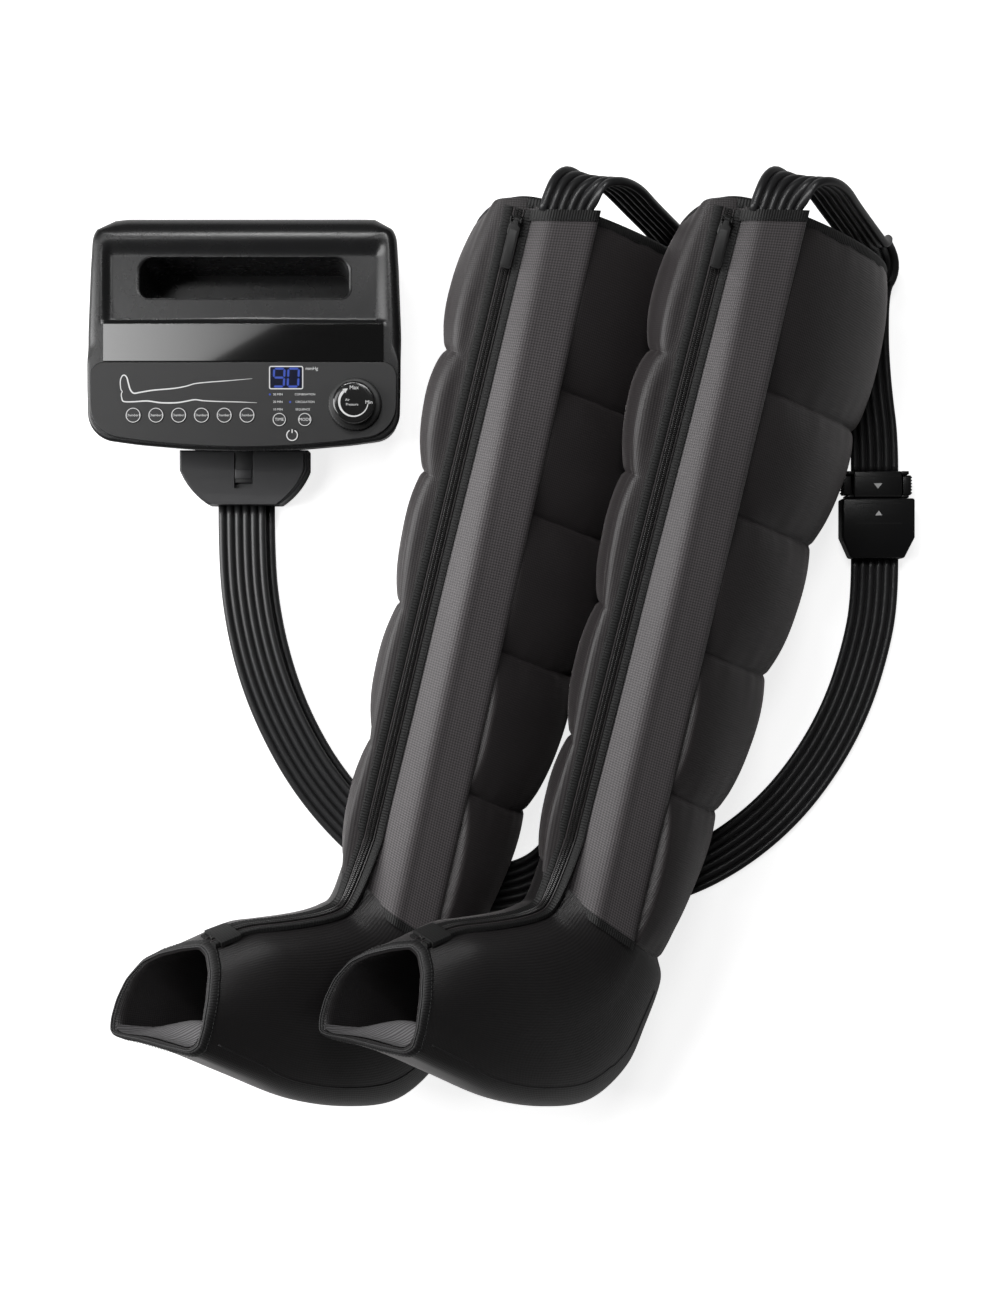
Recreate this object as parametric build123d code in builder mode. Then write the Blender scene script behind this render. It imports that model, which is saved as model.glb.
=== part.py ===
"""Compression therapy pump with two inflatable leg boots, laid out on a flat surface.

Millimetres, +Z up. The pump stands on its feet, the boots lie on their calves, rolled to one side.
"""
from math import cos, pi, radians, sin, tan
import os

from build123d import *

os.makedirs("parts", exist_ok=True)

# ---- frame -----------------------------------------------------------------------------------
layout_shift = Vector(11.1, 22.2, 0)     # moves the layout so that the origin is under its middle

# ---- pump case -------------------------------------------------------------------------------
pump_centre = Vector(-237, 293, 0) + layout_shift
case_half_width = 144.0             # at the front corners
case_rear_half_width = 140.0
case_bulge = 3.0                    # how far the sides bow out
case_half_depth = 109.0
front_corner_y = -96.0
rear_corner_radius = 20.0
front_corner_radius = 34.0
foot_height = 5.0
lower_case_height = 43.0
upper_case_height = 44.0
foot_inset = 16.0                   # the case narrows towards the table
parting_inset = 4.0
wall = 3.0
edge_round = 3.0
seam_gap = 0.3

parting_z = foot_height + lower_case_height
top_z = parting_z + upper_case_height
ceiling_z = top_z - wall

# ---- handle recess in the case, down to the lower shell's floor ------------------------------
slot_centre_y = 52.0
slot_length = 197.0
slot_width = 38.0
slot_corner = 9.0
slot_wall = 2.5

# ---- console ---------------------------------------------------------------------------------
panel_thickness = 3.0
panel_rear_y = -27.0
panel_margin = 0.3
panel_corner = 14.0
panel_z = top_z + panel_thickness
band_front_y = -26.4
band_depth = 35.0
band_half_width = 129.5
band_thickness = 1.6
window_centre = (39.7, -41.7)
window_size = (31.5, 21.3)
window_thickness = 2.0
fit_gap = 0.25                      # between the panel and what is let into it

# ---- keys ------------------------------------------------------------------------------------
key_pitch = 21.0
first_key_x = -101.3
chamber_key_y = -76.5
chamber_key_radius = 7.2
time_key_at = (33.5, -80.5)
mode_key_at = (57.0, -80.5)
small_key_radius = 6.4
power_key_at = (45.3, -94.6)
power_key_radius = 5.8
key_proud = 1.0
key_flange = 0.8
key_flange_height = 2.0
key_slack = 0.1
stem_radius = 1.6
switch_size = 4.5
switch_height = 5.0
switch_clearance = 1.0

# ---- dial ------------------------------------------------------------------------------------
dial_at = (103.4, -66.5)
dial_ring_radius = 24.0
dial_ring_height = 5.0
knob_radius = 20.0
knob_height = 13.0
knob_gap = 0.6
knob_shaft_radius = 3.0
running_fit = 0.05
encoder_size = 14.0
encoder_height = 9.0
dial_bush_radius = 6.0

# ---- inside the case -------------------------------------------------------------------------
board_top_z = 80.0
board_thickness = 1.6
board_rear_y = -32.0
board_front_y = -88.0
board_left_x = -112.0
board_right_x = 75.0
board_tongue_depth = 12.0
board_post_radius = 3.0
compressor_at = (-45.0, -22.0)
compressor_motor_radius = 19.0
compressor_motor_length = 50.0
compressor_head = (34.0, 40.0, 36.0)
air_port_radius = 3.0
air_port_height = 8.0
mount_height = 8.0
mount_radius = 6.0
valve_block_size = (72.0, 34.0, 24.0)
valve_block_at = (10.0, -62.0)
valve_can_radius = 5.0
valve_can_height = 16.0
valve_can_pitch = 11.5
foot_radius = 9.0
foot_spread = (108.0, 70.0)
boss_radius = 4.5
boss_x = 124.0
boss_front_y = -40.0
boss_rear_y = 84.0
screw_radius = 1.6
screw_head_radius = 3.0
screw_length = 14.0
jack_x = 96.0
jack_z = 28.0
jack_radius = 5.5
jack_length = 14.0
jack_wall = 2.2
jack_floor = 3.0

# ---- pump socket and plug --------------------------------------------------------------------
plug_offset_x = -8.5                # the socket sits a little left of the case's middle
socket_width = 104.0
socket_height = 26.0
socket_depth = 20.0
socket_wall = 2.5
socket_floor_z = 8.0
plug_z0 = 0.6
plug_height = 30.0
plug_nose_length = 12.0
plug_seat = 7.5                     # how far the mouth reaches under the case's bowed front
nose_fit = 0.3
plug_half_width = 61.5
plug_tail_half_width = 34.5
plug_shoulder = 19.0
plug_length = 52.0
plug_split = 0.45                   # share of the height that the lower shell takes
plug_face_inset = 4.0
plug_face_height = 1.5
latch_width = 17.0
latch_length = 32.0
latch_travel = 2.5
latch_gap = 0.3
latch_depth = 6.0

# ---- hoses -----------------------------------------------------------------------------------
tube_pitch = 7.7
tubes_per_ribbon = 6
ribbon_width = tube_pitch * tubes_per_ribbon
ribbon_thickness = 7.6
ribbon_gap = 0.4
table_gap = 0.1

# ---- in-line connectors ----------------------------------------------------------------------
socket_half_length = 26.0
joint_half_length = 58.0
connector_width = 60.0
joint_width = 70.0
joint_tail_width = 52.0
connector_height = 20.0
joint_height = 24.0
tail_taper = 20.0
clip_length = 19.0
clip_height = 12.0
clip_travel = 1.6
clip_gap = 0.3
clip_seat = 3.0
clip_inset = 7.0
clip_proud = 4.0

# ---- boots -----------------------------------------------------------------------------------
boot_heading = 12.9                 # degrees, the shafts lean this far from the Y axis
boot_pitch = 5.0                    # degrees, the thigh end is higher than the heel
boot_roll = 45.0                    # degrees, the toes point up this far
left_sole_point = Vector(-106.5, -440.3, 50.6) + layout_shift
right_sole_point = Vector(72.6, -440.3, 50.9) + layout_shift
seam_heights = [200.0, 332.0, 461.0, 585.0, 697.0, 851.0]
ankle_half_depth = 70.0
seam_growth = 16.0                  # half depth gained at each seam
rim_half_depth = 128.0
shaft_half_width = 65.0
ankle_half_width = 62.0
chamber_swell = 15.0
side_swell = 1.5
shin_shift = 38.0
shin_step = 8.5
boot_wall = 20.0
chamber_gap = 0.35
foot_rise = 13.0                    # degrees, the toes are higher than the heel
foot_length = 300.0
foot_half_width = 57.0
toe_height = 112.0
heel_back = 24.0
foot_wall = 9.0
sole_thickness = 12.0

# ---- zip and hose cover ----------------------------------------------------------------------
zip_top = (116.0, 28.0)             # forward and sideways place on the shaft, at the rim
zip_foot = (107.0, 6.0)             # the same at the ankle
zip_bottom_height = 212.0
chain_width = 6.0
chain_height = 3.0
zip_trough = 22.0
slider_width = 11.0
slider_length = 18.0
slider_height = 6.0
slider_fit = 0.4
slider_top_margin = 22.0
pull_width = 9.0
pull_length = 42.0
pull_thickness = 1.6
pull_pin_radius = 1.0
eye_width = 5.6
eye_wall = 0.9
lug_gap = 0.3
lug_length = 4.0
lug_height = 4.0
cover_top = (85.0, 51.0)
cover_foot = (79.0, 49.0)
cover_width = 58.0
cover_thickness = 11.0
cover_reach = 40.0                  # the chambers stay below the cover's outer side
cover_tilt = 61.0                   # degrees from the shaft's side to the cover's face


def finish(piece, name):
    """Label one finished piece and write it."""
    piece.part.label = name
    export_step(piece.part, f"parts/{name}.step")


# ==============================================================================================
# Pump
# ==============================================================================================
def pump_plane(z):
    """A level plane of the pump, at one height."""
    return Plane(pump_centre + Vector(0, 0, z))


def case_outline(inset=0.0):
    """The case seen from above, as a flat sketch."""
    half_front = case_half_width - inset
    half_rear = case_rear_half_width - inset
    rear = case_half_depth - inset
    corner = front_corner_y + inset
    middle = (half_front + half_rear) / 2 + case_bulge
    with BuildSketch(mode=Mode.PRIVATE) as outline:
        with BuildLine():
            Line((-half_rear, rear), (half_rear, rear))
            ThreePointArc((half_rear, rear), (middle, (rear + corner) / 2), (half_front, corner))
            ThreePointArc((half_front, corner), (0, inset - case_half_depth), (-half_front, corner))
            ThreePointArc((-half_front, corner), (-middle, (rear + corner) / 2), (-half_rear, rear))
        make_face()
        rear_corners = outline.vertices().filter_by_position(Axis.Y, rear - 1, rear + 1)
        fillet(rear_corners, rear_corner_radius - inset)
        front_corners = outline.vertices().filter_by_position(Axis.Y, corner - 1, corner + 1)
        fillet(front_corners, front_corner_radius - inset)
    return outline.sketch_local


key_places = [(first_key_x + key_pitch * i, chamber_key_y) for i in range(6)]
key_places += [time_key_at, mode_key_at, power_key_at]
key_radii = [chamber_key_radius] * 6 + [small_key_radius] * 2 + [power_key_radius]
key_names = [f"chamber_key_{i + 1}" for i in range(6)] + ["time_key", "mode_key", "power_key"]
key_switches = list(zip(key_places, key_radii))

foot_places = [(x * foot_spread[0], y * foot_spread[1]) for x in (-1, 1) for y in (-1, 1)]
boss_places = [(x * boss_x, y) for x in (-1, 1) for y in (boss_front_y, boss_rear_y)]
jack_y = case_half_depth - parting_inset - (
    (foot_inset - parting_inset) * (parting_z - jack_z) / lower_case_height)


def case_loft(low_z, low_inset, high_z, high_inset, mode=Mode.ADD):
    """A solid between the case's outline at two heights."""
    sections = []
    for z, inset in ((low_z, low_inset), (high_z, high_inset)):
        with BuildSketch(pump_plane(z)) as section:
            add(case_outline(inset))
        sections.append(section.sketch)
    loft(sections=sections, mode=mode)


# The lower shell: a tub that narrows towards the table.
with BuildPart() as lower_case:
    case_loft(foot_height, foot_inset, parting_z, parting_inset)
    case_loft(foot_height + wall, foot_inset + wall, parting_z, parting_inset + wall, Mode.SUBTRACT)
    with BuildSketch(pump_plane(foot_height)):
        with Locations(*boss_places):
            Circle(boss_radius)
    extrude(amount=lower_case_height - seam_gap)
    with BuildSketch(pump_plane(foot_height)):
        with Locations(*boss_places):
            Circle(screw_radius + seam_gap)
    extrude(amount=lower_case_height, mode=Mode.SUBTRACT)
    with BuildSketch(pump_plane(socket_floor_z)):
        with Locations((plug_offset_x, -case_half_depth)):
            Rectangle(socket_width + 2 * seam_gap, 4 * socket_depth)
    extrude(amount=socket_height + 2 * seam_gap, mode=Mode.SUBTRACT)
    with BuildSketch(Plane(pump_centre + Vector(jack_x, jack_y, jack_z), z_dir=(0, 1, 0))):
        Circle(jack_radius + seam_gap)
    extrude(amount=20, both=True, mode=Mode.SUBTRACT)
finish(lower_case, "lower_case")

# The upper shell, with the collar of the handle recess and the holes of the console.
with BuildPart() as upper_case:
    case_loft(parting_z + seam_gap, parting_inset, top_z, 0)
    fillet(upper_case.faces().sort_by(Axis.Z)[-1].edges(), edge_round)
    case_loft(parting_z + seam_gap, parting_inset + wall, ceiling_z, wall, Mode.SUBTRACT)
    with BuildSketch(pump_plane(foot_height + wall + seam_gap)):
        with Locations((0, slot_centre_y)):
            RectangleRounded(slot_length + 2 * slot_wall, slot_width + 2 * slot_wall, slot_corner)
    extrude(amount=top_z - foot_height - 1.5 * wall - seam_gap)
    with BuildSketch(pump_plane(0)):
        with Locations((0, slot_centre_y)):
            RectangleRounded(slot_length, slot_width, slot_corner - slot_wall)
    extrude(amount=2 * top_z, mode=Mode.SUBTRACT)
    with BuildSketch(pump_plane(ceiling_z + seam_gap)):
        with Locations(*boss_places):
            Circle(boss_radius)
    extrude(amount=parting_z - ceiling_z)
    with BuildSketch(pump_plane(parting_z - seam_gap)):
        with Locations(*boss_places):
            Circle(screw_radius)
    extrude(amount=screw_length, mode=Mode.SUBTRACT)
    with BuildSketch(pump_plane(ceiling_z - 1)):
        for place, radius in key_switches:
            with Locations(place):
                Circle(radius + fit_gap)
        with Locations(window_centre):
            Rectangle(window_size[0] - 6, window_size[1] - 6)
        with Locations(dial_at):
            Circle(dial_bush_radius + fit_gap)
    extrude(amount=3 * wall, mode=Mode.SUBTRACT)
finish(upper_case, "upper_case")

# The console panel covers the front of the upper shell.
with BuildPart() as console_panel:
    with BuildSketch(pump_plane(top_z)):
        add(case_outline(panel_margin + edge_round))
        with Locations((0, panel_rear_y)):
            Rectangle(4 * case_half_width, 2 * case_half_depth, align=(Align.CENTER, Align.MIN),
                      mode=Mode.SUBTRACT)
    extrude(amount=panel_thickness)
    upright = console_panel.edges().filter_by(Axis.Z).sort_by(Axis.Y)[-2:]
    fillet(upright, panel_corner)
    fillet(console_panel.faces().sort_by(Axis.Z)[-1].edges(), 1.0)
    with BuildSketch(pump_plane(top_z)):
        for place, radius in key_switches:
            with Locations(place):
                Circle(radius + fit_gap)
        with Locations(window_centre):
            Rectangle(window_size[0] - 4, window_size[1] - 4)
        with Locations(dial_at):
            Circle(dial_bush_radius + fit_gap)
    extrude(amount=panel_thickness, mode=Mode.SUBTRACT)
    with BuildSketch(pump_plane(panel_z)):
        with Locations(window_centre):
            Rectangle(window_size[0] + 2 * fit_gap, window_size[1] + 2 * fit_gap)
    extrude(amount=-window_thickness, mode=Mode.SUBTRACT)
finish(console_panel, "console_panel")

with BuildPart() as gloss_band:
    with BuildSketch(pump_plane(top_z)):
        with Locations((0, band_front_y)):
            Rectangle(2 * band_half_width, band_depth, align=(Align.CENTER, Align.MIN))
    extrude(amount=band_thickness)
    fillet(gloss_band.faces().sort_by(Axis.Z)[-1].edges(), 0.5)
finish(gloss_band, "gloss_band")

with BuildPart() as display_window:
    with BuildSketch(pump_plane(panel_z - window_thickness)):
        with Locations(window_centre):
            Rectangle(*window_size)
    extrude(amount=window_thickness)
finish(display_window, "display_window")

# Keys: each cap stands in its hole, kept in by a flange and standing over its switch.
switch_top_z = board_top_z + switch_height
for name, (place, radius) in zip(key_names, key_switches):
    with BuildPart() as key:
        with BuildSketch(pump_plane(ceiling_z - key_slack)):
            with Locations(place):
                Circle(radius)
        extrude(amount=panel_z + key_proud - ceiling_z + key_slack)
        fillet(key.faces().sort_by(Axis.Z)[-1].edges(), 0.4)
        with BuildSketch(pump_plane(ceiling_z - key_slack)):
            with Locations(place):
                Circle(radius + key_flange)
        extrude(amount=-key_flange_height)
        with BuildSketch(pump_plane(ceiling_z - key_slack - key_flange_height)):
            with Locations(place):
                Circle(stem_radius)
        extrude(amount=switch_top_z + switch_clearance - ceiling_z + key_slack + key_flange_height)
    finish(key, name)

# The board carries the switches and the digits' module.
with BuildPart() as main_board:
    with BuildSketch(pump_plane(board_top_z)):
        with Locations((board_left_x, board_front_y)):
            Rectangle(board_right_x - board_left_x, board_rear_y - board_front_y,
                      align=(Align.MIN, Align.MIN))
        with Locations((power_key_at[0], board_front_y)):
            Rectangle(4 * power_key_radius, board_tongue_depth, align=(Align.CENTER, Align.MAX))
    extrude(amount=-board_thickness)
    with BuildSketch(pump_plane(board_top_z)):
        with Locations(*key_places):
            Rectangle(switch_size, switch_size)
    extrude(amount=switch_height)
    with BuildSketch(pump_plane(board_top_z)):
        with Locations(window_centre):
            Rectangle(window_size[0] - 8, window_size[1] - 8)
    extrude(amount=top_z - board_top_z)
    with BuildSketch(pump_plane(board_top_z)):
        with Locations((board_left_x + 6, board_rear_y - 6), (board_right_x - 6, board_rear_y - 6),
                       (board_left_x + 40, board_front_y + 32)):
            Circle(board_post_radius)
    extrude(amount=ceiling_z - board_top_z)
finish(main_board, "main_board")

# The dial: a fixed ring and encoder, and the knob that turns on them.
with BuildPart() as dial_encoder:
    with BuildSketch(pump_plane(panel_z)):
        with Locations(dial_at):
            Circle(dial_ring_radius)
    extrude(amount=dial_ring_height)
    chamfer(dial_encoder.faces().sort_by(Axis.Z)[-1].edges(), 1.0)
    with BuildSketch(pump_plane(panel_z)):
        with Locations(dial_at):
            Circle(dial_bush_radius)
    extrude(amount=ceiling_z - panel_z - encoder_height)
    with BuildSketch(pump_plane(ceiling_z - 0.2)):
        with Locations(dial_at):
            Rectangle(encoder_size, encoder_size)
    extrude(amount=-encoder_height)
    with BuildSketch(pump_plane(ceiling_z - encoder_height)):
        with Locations(dial_at):
            Circle(knob_shaft_radius + running_fit)
    extrude(amount=2 * top_z, mode=Mode.SUBTRACT)
finish(dial_encoder, "dial_encoder")

knob_floor_z = panel_z + dial_ring_height + knob_gap
with BuildPart() as pressure_knob:
    with BuildSketch(pump_plane(knob_floor_z)):
        with Locations(dial_at):
            Circle(knob_radius)
    extrude(amount=knob_height)
    fillet(pressure_knob.faces().sort_by(Axis.Z)[-1].edges(), 2.0)
    with BuildSketch(pump_plane(knob_floor_z)):
        with Locations(dial_at):
            Circle(knob_shaft_radius)
    extrude(amount=ceiling_z - encoder_height + 1 - knob_floor_z)
finish(pressure_knob, "pressure_knob")

# The diaphragm compressor: a motor between two heads, on four rubber mounts.
compressor_z = foot_height + wall + mount_height
head_x, head_y, head_z = compressor_head
head_spread = compressor_motor_length / 2 + head_x / 2
mount_places = [(compressor_at[0] + x * head_spread, compressor_at[1] + y * head_y / 3)
                for x in (-1, 1) for y in (-1, 1)]
with BuildPart() as compressor:
    with BuildSketch(pump_plane(compressor_z)):
        with Locations(*[(compressor_at[0] + x * head_spread, compressor_at[1]) for x in (-1, 1)]):
            RectangleRounded(head_x, head_y, 4)
    extrude(amount=head_z)
    motor_centre = pump_centre + Vector(compressor_at[0], compressor_at[1],
                                        compressor_z + compressor_motor_radius)
    with BuildSketch(Plane(motor_centre, x_dir=(0, 1, 0), z_dir=(1, 0, 0))):
        Circle(compressor_motor_radius)
    extrude(amount=compressor_motor_length / 2, both=True)
    air_port = pump_centre + Vector(compressor_at[0] + head_spread, compressor_at[1] - head_y / 2,
                                    compressor_z + air_port_height)
    port_length = air_port.Y - pump_centre.Y - valve_block_at[1] - valve_block_size[1] / 2
    with BuildSketch(Plane(air_port, z_dir=(0, -1, 0))):
        Circle(air_port_radius)
    extrude(amount=port_length)
finish(compressor, "compressor")

with BuildPart() as compressor_mounts:
    with BuildSketch(pump_plane(foot_height + wall)):
        with Locations(*mount_places):
            Circle(mount_radius)
    extrude(amount=mount_height)
finish(compressor_mounts, "compressor_mounts")

# The valve block behind the socket, with one valve for each chamber.
with BuildPart() as valve_block:
    block_z = socket_floor_z + 3
    with BuildSketch(pump_plane(block_z)):
        with Locations(valve_block_at):
            Rectangle(valve_block_size[0], valve_block_size[1])
    extrude(amount=valve_block_size[2])
    with BuildSketch(pump_plane(block_z + valve_block_size[2])):
        with Locations(valve_block_at):
            with GridLocations(valve_can_pitch, 0, 6, 1):
                Circle(valve_can_radius)
    extrude(amount=valve_can_height)
    block_front_y = valve_block_at[1] - valve_block_size[1] / 2
    with BuildSketch(pump_plane(foot_height + wall)):
        with Locations(valve_block_at):
            with GridLocations(valve_block_size[0] - 10, 0, 2, 1):
                Circle(4)
    extrude(amount=block_z - foot_height - wall)
finish(valve_block, "valve_block")

# The outlet socket: an open box let into the front wall, fed by the valve block.
with BuildPart() as outlet_socket:
    with BuildSketch(pump_plane(socket_floor_z + seam_gap)):
        with Locations((plug_offset_x, block_front_y)):
            Rectangle(socket_width, socket_depth, align=(Align.CENTER, Align.MAX))
    extrude(amount=socket_height)
    with BuildSketch(pump_plane(socket_floor_z + seam_gap + socket_wall)):
        with Locations((plug_offset_x, block_front_y - socket_wall)):
            Rectangle(socket_width - 2 * socket_wall, socket_depth, align=(Align.CENTER, Align.MAX))
    extrude(amount=socket_height - 2 * socket_wall, mode=Mode.SUBTRACT)
finish(outlet_socket, "outlet_socket")

with BuildPart() as rubber_feet:
    with BuildSketch(pump_plane(0)):
        with Locations(*foot_places):
            Circle(foot_radius)
    extrude(amount=foot_height)
finish(rubber_feet, "rubber_feet")

with BuildPart() as case_screws:
    with BuildSketch(pump_plane(foot_height)):
        with Locations(*boss_places):
            Circle(screw_head_radius)
    extrude(amount=-1.8)
    with BuildSketch(pump_plane(foot_height)):
        with Locations(*boss_places):
            Circle(screw_radius - 0.02)
    extrude(amount=lower_case_height + screw_length / 2)
finish(case_screws, "case_screws")

with BuildPart() as power_jack:
    with BuildSketch(Plane(pump_centre + Vector(jack_x, jack_y, jack_z), z_dir=(0, -1, 0))):
        Circle(jack_radius)
    extrude(amount=jack_length)
    with BuildSketch(Plane(pump_centre + Vector(jack_x, jack_y, jack_z), z_dir=(0, -1, 0))):
        Circle(jack_radius - jack_wall)
    extrude(amount=jack_length - jack_floor, mode=Mode.SUBTRACT)
    with BuildSketch(pump_plane(foot_height + wall)):
        with Locations((jack_x, jack_y - jack_length + 1.5)):
            Rectangle(8, 5)
    extrude(amount=jack_z - jack_radius + 1 - foot_height - wall)
finish(power_jack, "power_jack")

# ==============================================================================================
# Plug of the pump
# ==============================================================================================
plug_front_y = -case_half_depth + plug_seat
plug_centre = pump_centre + Vector(plug_offset_x, 0, 0)
split_z = plug_z0 + plug_height * plug_split


def plug_plane(z):
    """A level plane of the plug, at one height."""
    return Plane(plug_centre + Vector(0, 0, z))


def plug_outline(inset=0.0):
    """The plug seen from above: a wide mouth, a curved shoulder and a narrow tail."""
    mouth = plug_half_width - inset
    tail = plug_tail_half_width - inset
    front = plug_front_y - inset
    shoulder = plug_front_y - plug_shoulder
    end = plug_front_y - plug_length
    bend = (mouth - (mouth - tail) * 0.22, shoulder - (plug_length - plug_shoulder) * 0.35)
    with BuildSketch(mode=Mode.PRIVATE) as outline:
        with BuildLine():
            Line((-mouth, front), (mouth, front))
            Line((mouth, front), (mouth, shoulder))
            ThreePointArc((mouth, shoulder), bend, (tail, end))
            Line((tail, end), (-tail, end))
            ThreePointArc((-tail, end), (-bend[0], bend[1]), (-mouth, shoulder))
            Line((-mouth, shoulder), (-mouth, front))
        make_face()
    return outline.sketch_local


latch_centre_y = plug_front_y - latch_length / 2 - 2

with BuildPart() as plug_body:
    with BuildSketch(plug_plane(plug_z0)):
        add(plug_outline())
    extrude(amount=split_z - plug_z0)
    fillet(plug_body.faces().sort_by(Axis.Z)[0].edges(), 2.0)
    nose_z = socket_floor_z + seam_gap + socket_wall + nose_fit
    with BuildSketch(plug_plane(nose_z)):
        with Locations((0, plug_front_y)):
            Rectangle(socket_width - 2 * (socket_wall + nose_fit), plug_nose_length,
                      align=(Align.CENTER, Align.MIN))
    extrude(amount=split_z - nose_z)
finish(plug_body, "plug_body")

with BuildPart() as plug_cover:
    with BuildSketch(plug_plane(split_z)):
        add(plug_outline())
    extrude(amount=plug_z0 + plug_height - split_z)
    fillet(plug_cover.faces().sort_by(Axis.Z)[-1].edges(), 2.0)
    with BuildSketch(plug_plane(split_z + 1)):
        add(plug_outline(plug_face_inset))
    extrude(amount=plug_z0 + plug_height + plug_face_height - split_z - 1)
    with BuildSketch(plug_plane(plug_z0 + plug_height + plug_face_height)):
        with Locations((0, latch_centre_y)):
            Rectangle(latch_width + 2 * latch_gap, latch_length + 2 * (latch_gap + latch_travel))
    extrude(amount=-latch_depth - latch_gap, mode=Mode.SUBTRACT)
finish(plug_cover, "plug_cover")

# The latch slides back in its groove to free the plug.
with BuildPart() as plug_latch:
    latch_z = plug_z0 + plug_height + plug_face_height - latch_depth
    with BuildSketch(plug_plane(latch_z)):
        with Locations((0, latch_centre_y + latch_travel)):
            Rectangle(latch_width, latch_length)
    extrude(amount=latch_depth - 1.5)
    with BuildSketch(plug_plane(latch_z + latch_depth - 1.5)):
        with Locations((0, latch_centre_y + latch_travel - latch_length / 4)):
            Rectangle(latch_width, latch_length / 3)
    extrude(amount=1.5)
finish(plug_latch, "plug_latch")

# ==============================================================================================
# Boots
# ==============================================================================================
heading = radians(boot_heading)
pitch = radians(boot_pitch)
roll = radians(boot_roll)
shaft_axis = Vector(sin(heading) * cos(pitch), cos(heading) * cos(pitch), sin(pitch))
level_left = Vector(-cos(heading), sin(heading), 0)
upward = Vector(-sin(pitch) * sin(heading), -sin(pitch) * cos(heading), cos(pitch))
forward = level_left * cos(roll) + upward * sin(roll)
sideways = level_left * -sin(roll) + upward * cos(roll)


def boot_point(sole, height, ahead, aside):
    """A point of one boot: height along the shaft, ahead towards the toes, aside upwards."""
    return sole + shaft_axis * height + forward * ahead + sideways * aside


def shaft_plane(sole, height, ahead=0.0, aside=0.0):
    """A plane across the shaft; its X is forward and its Y is sideways."""
    return Plane(boot_point(sole, height, ahead, aside), x_dir=forward, z_dir=shaft_axis)


def shin_offset(index):
    """How far the shaft's middle lies ahead at one seam."""
    return shin_shift - shin_step * index


def seam_half_depth(index):
    """Half the front to back size at one seam, or at the rim."""
    top = len(seam_heights) - 1
    return rim_half_depth if index == top else ankle_half_depth + seam_growth * index


def cover_plane(sole, top):
    """A plane across the hose cover; its X lies along the cover's width."""
    height = seam_heights[-1] if top else zip_bottom_height
    ahead, aside = cover_top if top else cover_foot
    tilt = radians(cover_tilt)
    across = forward * sin(tilt) - sideways * cos(tilt)
    return Plane(boot_point(sole, height, ahead, aside), x_dir=across, z_dir=shaft_axis)


def cover_solid(sole, grow, stretch, reach=0.0):
    """The straight cover, or the larger space that is kept free for it and outside it."""
    bottom = cover_plane(sole, False).offset(-stretch)
    top = cover_plane(sole, True).offset(stretch)
    sections = []
    for plane in (bottom, top):
        with BuildSketch(plane) as section:
            with Locations((0, reach / 2)):
                Rectangle(cover_width + 2 * grow, cover_thickness + 2 * grow + reach)
        sections.append(section.sketch)
    loft(sections=sections)


def zip_line(sole):
    """The two ends of the zip's straight run on the shaft."""
    low = boot_point(sole, zip_bottom_height, *zip_foot)
    high = boot_point(sole, seam_heights[-1], *zip_top)
    return low, high


def zip_plane(sole, along):
    """A plane across the zip, some way along it; its Y points away from the boot."""
    low, high = zip_line(sole)
    axis = (high - low).normalized()
    side = Vector(0, 0, 1).cross(axis).normalized()
    return Plane(low + axis * along, x_dir=side, z_dir=axis)


def pin_plane(sole, along, up):
    """A plane along the zip that faces sideways; the pull's pin is drawn on it."""
    across = zip_plane(sole, along)
    return Plane(across.origin + across.y_dir * up, x_dir=across.z_dir, z_dir=across.x_dir)


def zip_length():
    """The length of the zip's straight run."""
    low, high = zip_line(left_sole_point)
    return (high - low).length


def foot_plane(sole, along):
    """A plane across the foot; its X is sideways and its Y is up from the sole."""
    rise = radians(foot_rise)
    axis = forward * cos(rise) + shaft_axis * sin(rise)
    up = shaft_axis * cos(rise) - forward * sin(rise)
    return Plane(sole + axis * along, x_dir=up.cross(axis), z_dir=axis)


def foot_loft(sole, stations, inset, mode):
    """A solid through rounded sections: (along, half width, height, corner)."""
    sections = []
    for along, half, height, corner in stations:
        with BuildSketch(foot_plane(sole, along)) as section:
            with Locations((0, height / 2 + inset)):
                RectangleRounded(2 * half, height, corner)
        sections.append(section.sketch)
    loft(sections=sections, mode=mode)


def hose_bed(sole, bed_z):
    """The space below the lowest chamber where the hoses cross under the boot."""
    with BuildPart(mode=Mode.PRIVATE) as space:
        with BuildSketch(Plane(Vector(sole.X, sole.Y, bed_z))):
            Rectangle(2 * seam_heights[1], 2 * seam_heights[1])
        extrude(amount=-seam_heights[0])
    return space.part


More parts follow.
